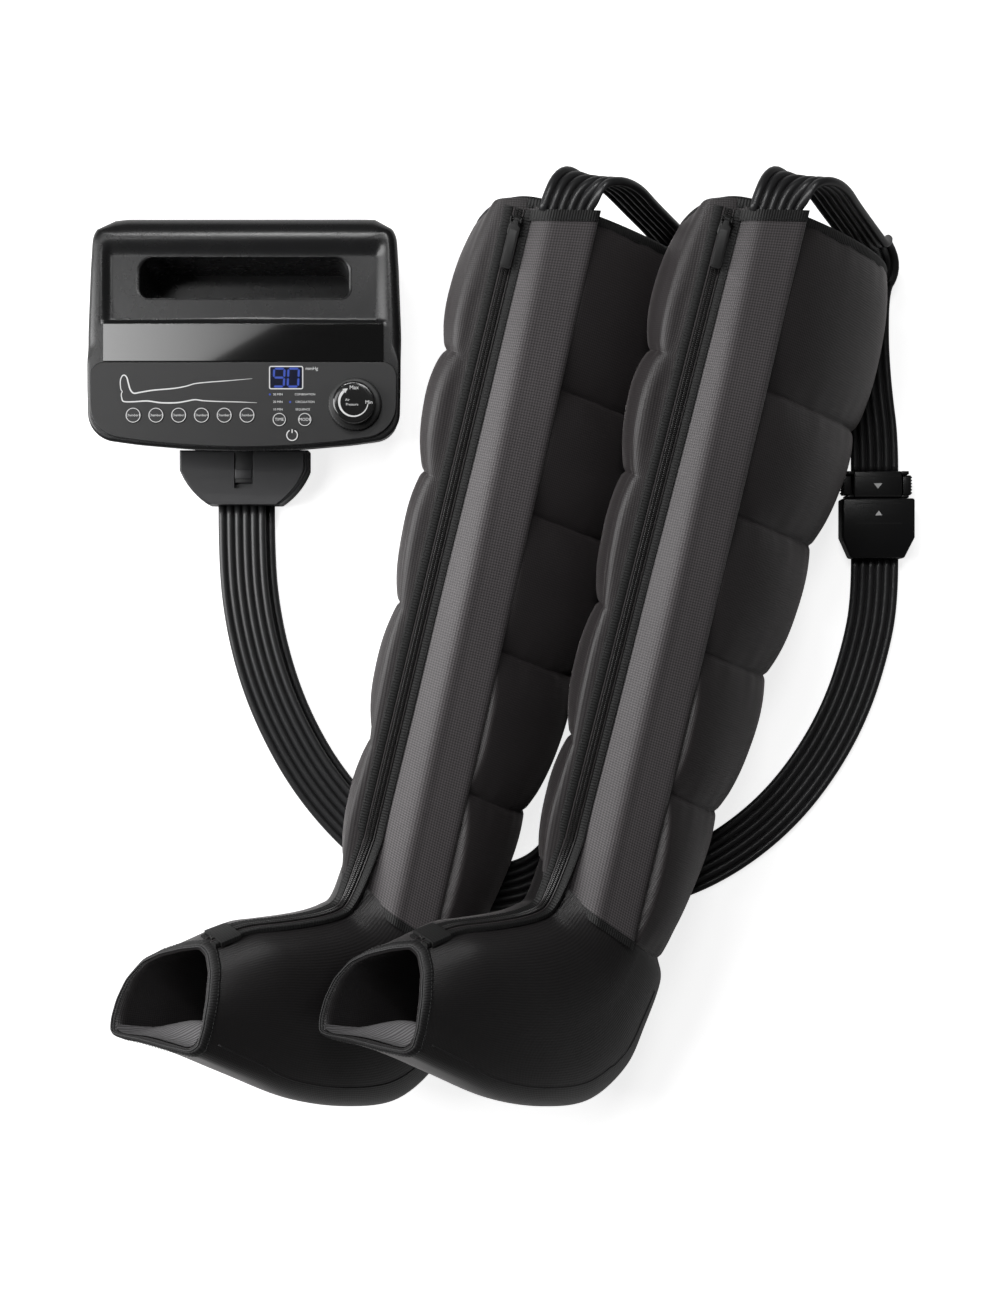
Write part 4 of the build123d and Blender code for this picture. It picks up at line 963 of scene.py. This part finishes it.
def build_slider(side, sole):
    """The zip's slider and the tab that hangs on it."""
    low = boot_points(sole, zip_low[0], *zip_low[1:])
    high = boot_points(sole, zip_high[0], *zip_high[1:])
    axis = unit(high - low)
    left = -unit(np.cross(up_axis, axis))
    up = np.cross(axis, -left)
    origin = high - axis * slider_rim_gap
    pin_at, pin_y = 14.0, 7.1
    swing = origin + axis * pin_at + up * pin_y

    def part(name, rings, axes=(left, up, axis), **options):
        return prism(f"{side}_{name}", rings, origin, axes, slider_metal, body=f"{side}_zip_slider",
                     slot="slider", **options)

    def tab_part(name, outline, low, high, material, bevel):
        return prism(f"{side}_{name}", [(low, outline), (high, outline)], swing, (left, axis, up), material,
                     bevel=bevel, body=f"{side}_pull_tab", slot="pull")

    outline = rounded([(-5.5, -0.9), (-5.5, 4.2), (-3.5, 5.0), (3.5, 5.0), (5.5, 4.2), (5.5, -0.9),
                       (4.0, -0.9), (4.0, 2.1), (-4.0, 2.1), (-4.0, -0.9)], 0.4, 3)
    narrow = [(x * 0.8, y) for x, y in outline]
    made = part("slider_body", [(0.0, narrow), (3.0, outline), (13.0, outline), (18.0, narrow)])
    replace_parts(made, f"{side}_zip_slider")
    for hand, x in (("a", -4.4), ("b", 4.4)):
        ear = rounded(rectangle(1.8, 4.2, (x, 6.7)), 0.5, 3)
        part(f"slider_ear_{hand}", [(pin_at - 2, ear), (pin_at + 2, ear)])
    pin = circle(1.0, 16, (pin_y, pin_at))
    part("slider_pin", [(-5.0, pin), (5.0, pin)], (up, axis, left))
    outline = rounded([(-2.4, 1.9), (2.4, 1.9), (2.6, -4.0), (4.9, -6.0), (4.9, -41.5), (-4.9, -41.5),
                       (-4.9, -6.0), (-2.6, -4.0)], [0.8, 0.8, 1, 1.5, 2.2, 2.2, 1.5, 1], 5)
    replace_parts(tab_part("tab", outline, -0.8, 0.8, tab_rubber, 0.45), f"{side}_pull_tab")
    outline = rounded([(-3.6, -8.5), (3.6, -8.5), (3.6, -39.5), (-3.6, -39.5)], 1.4, 5)
    tab_part("tab_field", outline, 0.7, 1.15, ring_plastic, 0.2)


for boot_side in soles:
    build_boot(boot_side)


# ---- Hoses and connectors ------------
tube_pitch = 7.7
low_z, high_z = 3.9, 11.9


def beside(sole, along, right, z):
    """A point beside one boot: level distance along it, to its right, and height."""
    return (sole + heading_axis * along - level_left * right) * [1, 1, 0] + up_axis * z


def floor_point(x, y, z):
    """A point of the layout, at one height."""
    return np.array([x, y, z]) + layout_shift


left_joint_along, left_joint_right = 500.0, 121.0
right_joint = floor_point(364, 146.4, 0)
left_joint = beside(soles["left"], left_joint_along, left_joint_right, 0)
plug_x, plug_tail_y = -245.5, 293.0 - 101.5 - 52.0

# The supply hoses leave the plug one over the other, half a tube's pitch to either side of its middle.
right_supply = [floor_point(x, y, low_z) for x, y in (
    (plug_x + tube_pitch / 2, plug_tail_y), (plug_x + tube_pitch / 2, 88), (-236, 33), (-223, -22), (-204, -72),
    (-176, -122), (-140, -165), (-98, -202), (-46, -228), (10, -237), (66, -238), (122, -232),
    (176, -219), (226, -193), (272, -155), (309, -108), (337, -56), (355, 0), (364, 48))]
right_supply.append(right_joint + np.array([0, -58.0, low_z]))
left_supply = [floor_point(x, y, high_z) for x, y in (
    (plug_x - tube_pitch / 2, plug_tail_y), (plug_x - tube_pitch / 2, 88), (-244, 33), (-231, -22), (-211, -72),
    (-183, -122), (-146, -167), (-102, -205), (-50, -228), (6, -232), (50, -213), (77, -170))]
left_supply += [beside(soles["left"], left_joint_along - back, left_joint_right, high_z) for back in (140, 58)]


def over_rim(sole):
    """The part of the boot hose's route that both boots share."""
    start = boot_points(sole, rim_height, cover_high[1], cover_high[2])
    return [start - shaft_axis * 14, start + shaft_axis * 18, beside(sole, 872, 10, start[2] - 20),
            beside(sole, 868, 42, 136), beside(sole, 864, 72, 80), beside(sole, 856, 103, 26)]


left_hose = over_rim(soles["left"]) + [beside(soles["left"], *place) for place in (
    (826, 126, 13), (770, 132, high_z), (712, 126, high_z), (652, 124, high_z), (590, 121, high_z),
    (526, 121, high_z))]
right_hose = over_rim(soles["right"]) + [
    beside(soles["right"], 836, 97, 14), floor_point(354, 300, 6), floor_point(358, 250, low_z),
    floor_point(364, 205, low_z), right_joint + np.array([0, 26.0, low_z])]


def ribbon_profile():
    """The outline of six joined tubes side by side: (across, up) pairs."""
    radius = tube_pitch / 2 - 0.05
    upper = []
    for number in range(6):
        first, last = 0 if number == 0 else 10, 180 if number == 5 else 170
        upper += arc(((number - 2.5) * tube_pitch, 0), radius, np.linspace(180 - first, 180 - last, 9))
    return upper + [(x, -y) for x, y in upper[::-1][1:-1]]


def build_ribbon(name, route, node, start_side=None):
    """Six joined tubes along a route, lying flat once they are on the floor."""
    line = spline_points(route)
    tangents = unit(np.gradient(line, axis=0))
    level = unit(np.cross(tangents, [0, 0, 1.0]))
    if start_side is not None:
        # over the rim the ribbon bends down and aside at once, and lies flat again on the floor
        steps = distances(line)
        edge_on, slanting = level_left * 0.5 - up_axis * 0.87, level_left * 0.75 - up_axis * 0.66
        keys = np.array([start_side, start_side, slanting, edge_on, slanting, level_left])
        held = sample(steps, [0, 16, 70, 120, 185, 240], keys)
        share = smooth_step((steps - 215) / 40)[:, None]
        flip = np.sign((level * level_left).sum(axis=1).mean())
        level = unit(held) * (1 - share) + level * flip * share
        level = unit(level - tangents * (level * tangents).sum(axis=1, keepdims=True))
    normals = np.cross(level, tangents)
    made = sweep(name, line, level, normals, ribbon_profile(), hose_rubber, caps=True, slot="hose")
    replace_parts(made, node)
    return made, line


def build_joint(side, joint, axis):
    """The two halves of an in-line connector, its ribbed clips and its arrow marks."""
    axis = np.asarray(axis, dtype=float)
    across = np.cross(axis, up_axis)
    standing, lying = (across, up_axis, axis), (across, axis, up_axis)

    def part(name, rings, origin=joint, axes=standing, material=joint_plastic, slot="connector", **options):
        return prism(f"{side}_{name}", rings, origin, axes, material, slot=slot, **options)

    def straight(name, low, high, outline, **options):
        return part(name, [(low, outline), (high, outline)], **options)

    def half(name, rings, bevel, replaced):
        made = part(name, [(along, rectangle(width, height, (0, height / 2 + 0.1)))
                           for along, width, height in rings], bevel=bevel, segments=4)
        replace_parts(made, f"{side}_{replaced}")
        return made

    plug_parts = [half("joint_lower", ((-58.0, 52.0, 18.0), (-38.0, 70.0, 24.0), (-0.4, 70.0, 24.0)), 2.2,
                       "joint_plug")]
    socket_parts = [half("joint_upper", ((0.2, 46.4, 20.0), (26.0, 46.4, 20.0)), 1.6, "joint_socket")]
    # the socket's shoulders stand round the clips
    for way, hand in ((-1, "a"), (1, "b")):
        for label, low, high in (("front", 0.2, 2.9), ("rear", 22.7, 26.0)):
            socket_parts.append(straight(f"joint_shoulder_{label}_{hand}", low, high,
                                         rectangle(7.2, 20.0, (way * 26.4, 10.1)), bevel=0.8))
    outer, inner = 34.0, 24.9
    for way, hand in ((1, "a"), (-1, "b")):
        body = f"{side}_joint_clip_{hand}"
        outline = rectangle(outer - inner - 1.0, 12.0, (way * (outer + inner - 1.0) / 2, 10.0))
        clip = straight(f"clip_{hand}", 3.3, 22.3, outline, bevel=0.8, body=body, slot="clip")
        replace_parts(clip, body)
        socket_parts.append(clip)
        for number in range(6):
            at = 4.6 + number * 3.0
            straight(f"clip_{hand}_rib_{number + 1}", at, at + 1.5, rectangle(1.6, 11.0, (way * (outer - 0.8), 10.0)),
                     bevel=0.4, segments=2, body=body, slot="clip")
    for label, arrow, top, lines_at in (("upper", [(-4.2, 14.2), (4.2, 14.2), (0.0, 9.0)], 20.15, 11.5),
                                        ("lower", [(-3.4, -17.0), (3.4, -17.0), (0.0, -12.4)], 24.15, -15.0)):
        straight(f"joint_arrow_{label}", 0.0, 0.12, arrow, origin=joint + up_axis * top, axes=lying,
                 material=print_white)
        for step, hand in ((-9.5, "a"), (9.5, "b")):
            straight(f"joint_line_{label}_{hand}", 0.0, 0.2, rectangle(44.0, 0.5, (0, lines_at + step)),
                     origin=joint + up_axis * (top - 0.08), axes=lying, material=ring_plastic)
    return plug_parts, socket_parts


connector_parts = {"left": build_joint("left", left_joint, heading_axis),
                   "right": build_joint("right", right_joint, (0.0, 1.0, 0.0))}
cover_side = forward * sin(cover_tilt) - sideways * cos(cover_tilt)
hoses = (("left", "supply", left_supply, 0.736), ("left", "boot", left_hose, 0.593),
         ("right", "supply", right_supply, 1.049), ("right", "boot", right_hose, 0.461))
for hose_side, kind, route, cord_length in hoses:
    over_boot = kind == "boot"
    ribbon, line = build_ribbon(f"{hose_side}_{kind}_ribbon", route, f"{hose_side}_{kind}_hose",
                                cover_side if over_boot else None)


# ---- Pump ------------
def on_pump(x, y, z=0.0):
    """A point of the pump from its own middle."""
    return pump_centre + np.array([x, y, z])


case_height, recess_drop = 92.0, 4.5
# The case's right half, from the middle of its front to its rear corner: x, y and the corner's radius.
half_case = [(48, -107.7, 300), (96, -103.6, 300), (144, -97, 34), (145, -50, 400), (145.3, 0, 400),
             (143, 60, 200), (140, 109, 26)]
case_corners = [(-x, y, radius) for x, y, radius in half_case[::-1]] + [(0, -109, 300)] + half_case
case_line = np.array(rounded([corner[:2] for corner in case_corners], [corner[2] for corner in case_corners], 14))

slot_middle = np.array([0.0, 52.0])
slot_outline = np.array(rounded([(-98.5, 71), (98.5, 71), (98.5, 33), (-98.5, 33)], [14, 14, 9, 9], 14))


def case_top(places):
    """Height of the upper shell's face: flat in front, lower round the recess, raised at its other sides."""
    x, y = places[:, 0], places[:, 1]
    low = smooth_step((88.0 - y) / 16.0) * smooth_step((y - 8.0) / 5.0) * smooth_step((133.0 - np.abs(x)) / 11.0)
    return case_height - recess_drop * low


def evened(line, step):
    """A closed line with its points one step apart."""
    lengths = distances(line, closed=True)
    return sample(np.arange(0, lengths[-1], step), lengths, np.vstack([line, line[:1]]))


def outward_of(line):
    """Outward directions of a closed flat line."""
    tangents = unit(np.roll(line, -1, axis=0) - np.roll(line, 1, axis=0))
    outward = np.stack([tangents[:, 1], -tangents[:, 0]], axis=1)
    return outward * np.sign((outward * (line - line.mean(axis=0))).sum())


def at_height(flat, z):
    """Points of the pump from flat places and their heights."""
    return np.column_stack([flat, np.broadcast_to(z, len(flat))]) + pump_centre


def build_case():
    """The upper shell with its rounded bar at the rear and the recess for the fingers."""
    line, slot = evened(case_line, 2.5), evened(slot_outline, 1.8)
    outward = outward_of(line)
    rear = smooth_step((line[:, 1] + 30) / 22)
    radius = (3.0 + rear * (6.0 + 11.0 * np.clip(outward[:, 1], 0, 1) ** 4))[:, None]
    edge = line - outward * radius
    # one column for each point of either outline, by its direction from the recess's middle
    edge_turn, slot_turn = (np.arctan2(*(ring - slot_middle).T[::-1]) for ring in (edge, slot))
    turns = np.sort(np.concatenate([edge_turn, slot_turn]))
    turns = turns[np.diff(turns, append=turns[0] + tau) > 0.003]

    def at_turns(own, values):
        order = np.argsort(own)
        return np.stack([np.interp(turns, own[order], column[order], period=tau) for column in values.T], axis=1)

    line, edge, slot = at_turns(edge_turn, line), at_turns(edge_turn, edge), at_turns(slot_turn, slot)
    outward, radius = unit(at_turns(edge_turn, outward)), at_turns(edge_turn, radius)[:, 0]

    def side(thick):
        rows = [at_height(line - outward * (inset + thick), z) for z, inset in ((48.4, 4.0), (60.0, 3.0), (72.0, 1.9))]
        for turn in np.linspace(0, pi / 2, 10):
            flat = line - outward * (radius * (1 - cos(turn)) + thick * cos(turn))[:, None]
            rows.append(at_height(flat, case_height - radius + radius * sin(turn) - thick * sin(turn)))
        return rows

    def slot_line(scale):
        return slot_middle + (slot - slot_middle) * scale

    wall_thickness, slot_floor = 3.0, 8.5
    rows = side(0.0)
    for share in 1 - np.linspace(1, 0, 42)[1:] ** 1.6:
        flat = edge + (slot - edge) * share
        rows.append(at_height(flat, case_top(flat)))
    for inset, drop in ((0.6, 0.25), (1.0, 0.9), (1.2, 2.0), (2.4, 30.0), (3.6, 62.0)):
        rows.append(at_height(slot_line(1 - inset / 60.0), case_top(slot) - drop))
    rows.append(at_height(slot_line(0.94), slot_floor))
    flat = slot_line(1.05)
    rows += [at_height(flat, z) for z in (slot_floor, 60.0, case_top(flat) - 6.0, case_top(flat) - wall_thickness)]
    for share in np.linspace(0.9, 0.0, 14):
        flat = edge + (slot - edge) * share
        rows.append(at_height(flat, case_top(flat) - wall_thickness))
    rows += side(wall_thickness)[::-1]
    made = grid("case_shell", rows, case_plastic, wrap_rows=True, wrap_cols=True, slot="case")
    made.data.set_sharp_from_angle(angle=radians(45))
    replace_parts(made, "upper_case")


def build_slot_edge():
    """The lit edge round the recess."""
    ring = evened(slot_outline, 1.5)
    rows = []
    for reach, lift in ((-0.1, -1.5), (-0.1, 0.1), (0.5, 0.35), (1.3, 0.1), (1.3, -1.5)):
        flat = ring + outward_of(ring) * reach
        rows.append(at_height(flat, case_top(flat) + lift))
    grid("slot_edge", np.swapaxes(rows, 0, 1), case_plastic, wrap_rows=True, wrap_cols=True, slot="case")


build_case()
build_slot_edge()


pump_pixel = (244.2, 332.5)
pixel_size = 0.927


def pixel(x, y):
    """A place on the pump from a place in the 1000 by 1300 picture frame."""
    return (x - pump_pixel[0]) * pixel_size, (pump_pixel[1] - y) * pixel_size


def word_points(text, size):
    """Vertices and faces of a flat word, centred."""
    data = bpy.data.curves.new("word", "FONT")
    data.body = text
    data.size = size * MM
    data.align_x = data.align_y = "CENTER"
    data.extrude = 0.00006
    data.resolution_u = 3
    return curve_shape(data)


class Print:
    """Gathers flat printed marks into one piece."""

    def __init__(self):
        self.vertices, self.faces = [], []

    def add(self, vertices, faces):
        base = len(self.vertices)
        self.vertices += [list(vertex) for vertex in vertices]
        self.faces += [[base + n for n in face] for face in faces]

    def word(self, text, size, x, y, z):
        vertices, faces = word_points(text, size)
        self.add(vertices + on_pump(x, y, z), faces)

    def line(self, points, width, z, closed=False, thickness=0.1):
        points = np.array(points, dtype=float)
        count = len(points)
        if closed:
            tangents = unit(np.roll(points, -1, axis=0) - np.roll(points, 1, axis=0))
        else:
            tangents = unit(np.gradient(points, axis=0))
        side = np.stack([-tangents[:, 1], tangents[:, 0]], axis=1) * np.broadcast_to(width, count)[:, None] / 2
        vertices = [on_pump(a, b, z + lift) for lift in (0.0, thickness)
                    for flat in (points - side, points + side) for a, b in flat]
        # where the four edges begin: low left, low right, top right and top left
        edges = (0, count, 3 * count, 2 * count)
        faces = [(a + n, b + n, b + (n + 1) % count, a + (n + 1) % count)
                 for n in range(count if closed else count - 1) for a, b in zip(edges, edges[1:] + edges[:1])]
        if not closed:
            faces += [edges, tuple(edge + count - 1 for edge in edges)]
        self.add(vertices, faces)

    def dot(self, radius, x, y, z):
        self.line(circle(radius / 2, 20, (x, y)), radius, z, closed=True)

    def finish(self, name, material, body=FIXED, slot="console"):
        return piece(name, self.vertices, self.faces, material, body=body, slot=slot, smooth=False)


def picture_line(points):
    """Panel places from places in the enlarged picture of the pump."""
    return [pixel(80 + x / 4, 205 + y / 4) for x, y in points]


panel_z = 95.0
legends = Print()
shin_line = curve_through(picture_line([(176, 745), (170, 735), (168, 705), (174, 686), (184, 680), (194, 690),
                                        (200, 712), (208, 738), (222, 752), (250, 748), (300, 740), (380, 733),
                                        (430, 724), (465, 714), (520, 708), (600, 702), (693, 694)]), 90)
calf_line = curve_through(picture_line([(176, 745), (172, 756), (174, 772), (182, 785), (220, 786), (275, 783),
                                        (330, 790), (390, 790), (430, 784), (465, 778), (500, 782), (560, 785),
                                        (640, 787), (712, 790)]), 90)
for leg_line in (shin_line, calf_line):
    thickness = 0.75 + 0.55 * np.sin(np.linspace(0.2, pi - 0.05, len(leg_line))) ** 2
    thickness[-8:] *= np.linspace(1, 0.35, 8)
    legends.line(leg_line, thickness, panel_z)
window = np.array([39.7, -41.7])
legends.line(rounded(rectangle(30.6, 20.6, window), 1.5, 5), 1.0, panel_z, closed=True)
legends.word("mmHg", 4.3, *pixel(312.5, 368.5), panel_z)
for row, (minutes, mode, mode_x) in enumerate((("30 MIN", "COMBINATION", 305.8), ("20 MIN", "CIRCULATION", 305.8),
                                               ("10 MIN", "SEQUENCE", 303.5))):
    legends.word(minutes, 2.9, *pixel(278.8, 394.2 + row * 7.5), panel_z)
    legends.word(mode, 2.7, *pixel(mode_x, 394.2 + row * 7.5), panel_z)
legends.finish("console_legends", print_white)

lights = Print()
lights.dot(0.95, *pixel(270.8, 394.2), panel_z)
lights.dot(0.95, *pixel(291.0, 401.8), panel_z)


def digit(target, segments, x, y):
    """A seven segment digit of separate bars."""
    w, h, gap, slant = 4.8, 8.25, 0.55, 0.05
    bars = {"a": ((-w, h), (w, h)), "b": ((w, h), (w, 0)), "c": ((w, 0), (w, -h)), "d": ((-w, -h), (w, -h)),
            "e": ((-w, 0), (-w, -h)), "f": ((-w, h), (-w, 0)), "g": ((-w, 0), (w, 0))}
    for segment in segments:
        start, end = (np.array(point, dtype=float) for point in bars[segment])
        step = unit(end - start) * gap
        line = [start + step, start + step * 2.4, end - step * 2.4, end - step]
        line = [(x + a + b * slant, y + b) for a, b in line]
        target.line(line, np.array([0.2, 1.9, 1.9, 0.2]), panel_z + 0.02)


digit(lights, "abcdfg", window[0] - 6.6, window[1])
digit(lights, "abcdef", window[0] + 6.6, window[1])
lights.finish("display_lights", led_blue, slot="window")

key_top = panel_z + 1.0
key_centres = {f"chamber_key_{n + 1}": (-101.3 + 21.0 * n, -76.5, 7.2, f"Chamber{n + 1}") for n in range(6)}
key_centres.update(time_key=(33.5, -80.5, 6.4, "TIME"), mode_key=(57.0, -80.5, 6.4, "MODE"))
for key_name, (key_x, key_y, key_radius, key_word) in key_centres.items():
    marks = Print()
    marks.line(circle(key_radius - 0.75, 48, (key_x, key_y)), 0.62, key_top, closed=True)
    marks.word(key_word, 3.1 if len(key_word) > 4 else 3.9, key_x, key_y, key_top)
    marks.finish(f"{key_name}_mark", print_white, body=key_name, slot="key")
power_mark = Print()
power_mark.line(arc((45.3, -94.9), 4.9, range(118, 423, 8)), 0.95, key_top)
power_mark.line([(45.3, -92.9), (45.3, -91.0), (45.3, -89.4)], 0.95, key_top)
power_mark.finish("power_key_mark", print_white, body="power_key", slot="key")

# the dial
dial_middle = np.array([103.4, -66.5])
dial = on_pump(*dial_middle)
ridges = 54
ring_outlines = []
for ring_z, ring_radius, ridge, groove in ((95.0, 24.2, 0.45, -0.25), (99.2, 24.0, 0.45, -0.25),
                                           (100.0, 22.8, -0.3, -0.3)):
    radii = [ring_radius + (ridge if (n // 2) % 2 else groove) for n in range(ridges * 4)]
    ring_outlines.append((ring_z, [(radius * x, radius * y) for radius, (x, y)
                                   in zip(radii, circle(1.0, ridges * 4))]))
dial_ring = prism("dial_ring", ring_outlines, dial, np.eye(3), ring_plastic, slot="dial_ring")
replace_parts(dial_ring, "dial_encoder")
cap = [(100.6, 19.4), (101.4, 20.0), (106.1, 19.75), (110.8, 19.5)]
cap += [(110.8 + 2.3 * y, 17.2 + 2.3 * x) for x, y in arc((0, 0), 1.0, (18, 36, 54, 72, 90))]
cap += [(113.3, 14.0), (113.4, 6.0)]
knob = prism("knob_cap", [(z, circle(radius, 72)) for z, radius in cap], dial, np.eye(3), knob_plastic,
             body="pressure_knob", slot="knob")
knob.data.shade_smooth()
knob.data.set_sharp_from_angle(angle=radians(60))
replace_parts(knob, "pressure_knob")
knob_marks = Print()
knob_top = 113.45
knob_arc_radius = 13.2
knob_arc = arc(dial_middle, knob_arc_radius, range(-8, -232, -6))
knob_marks.line(knob_arc, np.linspace(0.7, 2.4, len(knob_arc)), knob_top)
knob_marks.line(arc(dial_middle, knob_arc_radius, (-228, -236, -246)), [4.6, 2.6, 0.2], knob_top)
for knob_word, word_size, place in (("Max", 5.0, (0.4, 13.0)), ("Min", 4.6, (14.0, -0.4)),
                                    ("Air", 3.2, (-5.6, 1.8)), ("Pressure", 3.2, (-1.4, -2.4))):
    knob_marks.word(knob_word, word_size, *(dial_middle + place), knob_top)
knob_marks.finish("knob_marks", print_white, body="pressure_knob", slot="knob")

# the plug's latch
plug_centre = on_pump(-8.5, 0)
latch_y = -117.0
for label, low, high, outline, latch_material, bevel in (
        ("slide", 26.1, 30.6, rectangle(17.0, 32.0, (0, latch_y)), groove_plastic, 0.5),
        ("pad", 30.4, 32.0, rectangle(16.6, 9.5, (0, latch_y - 7.5)), plug_plastic, 0.6)):
    latch = prism(f"latch_{label}", [(low, outline), (high, outline)], plug_centre, np.eye(3), latch_material,
                  bevel=bevel, body="plug_latch", slot="latch")
    if label == "slide":
        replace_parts(latch, "plug_latch")
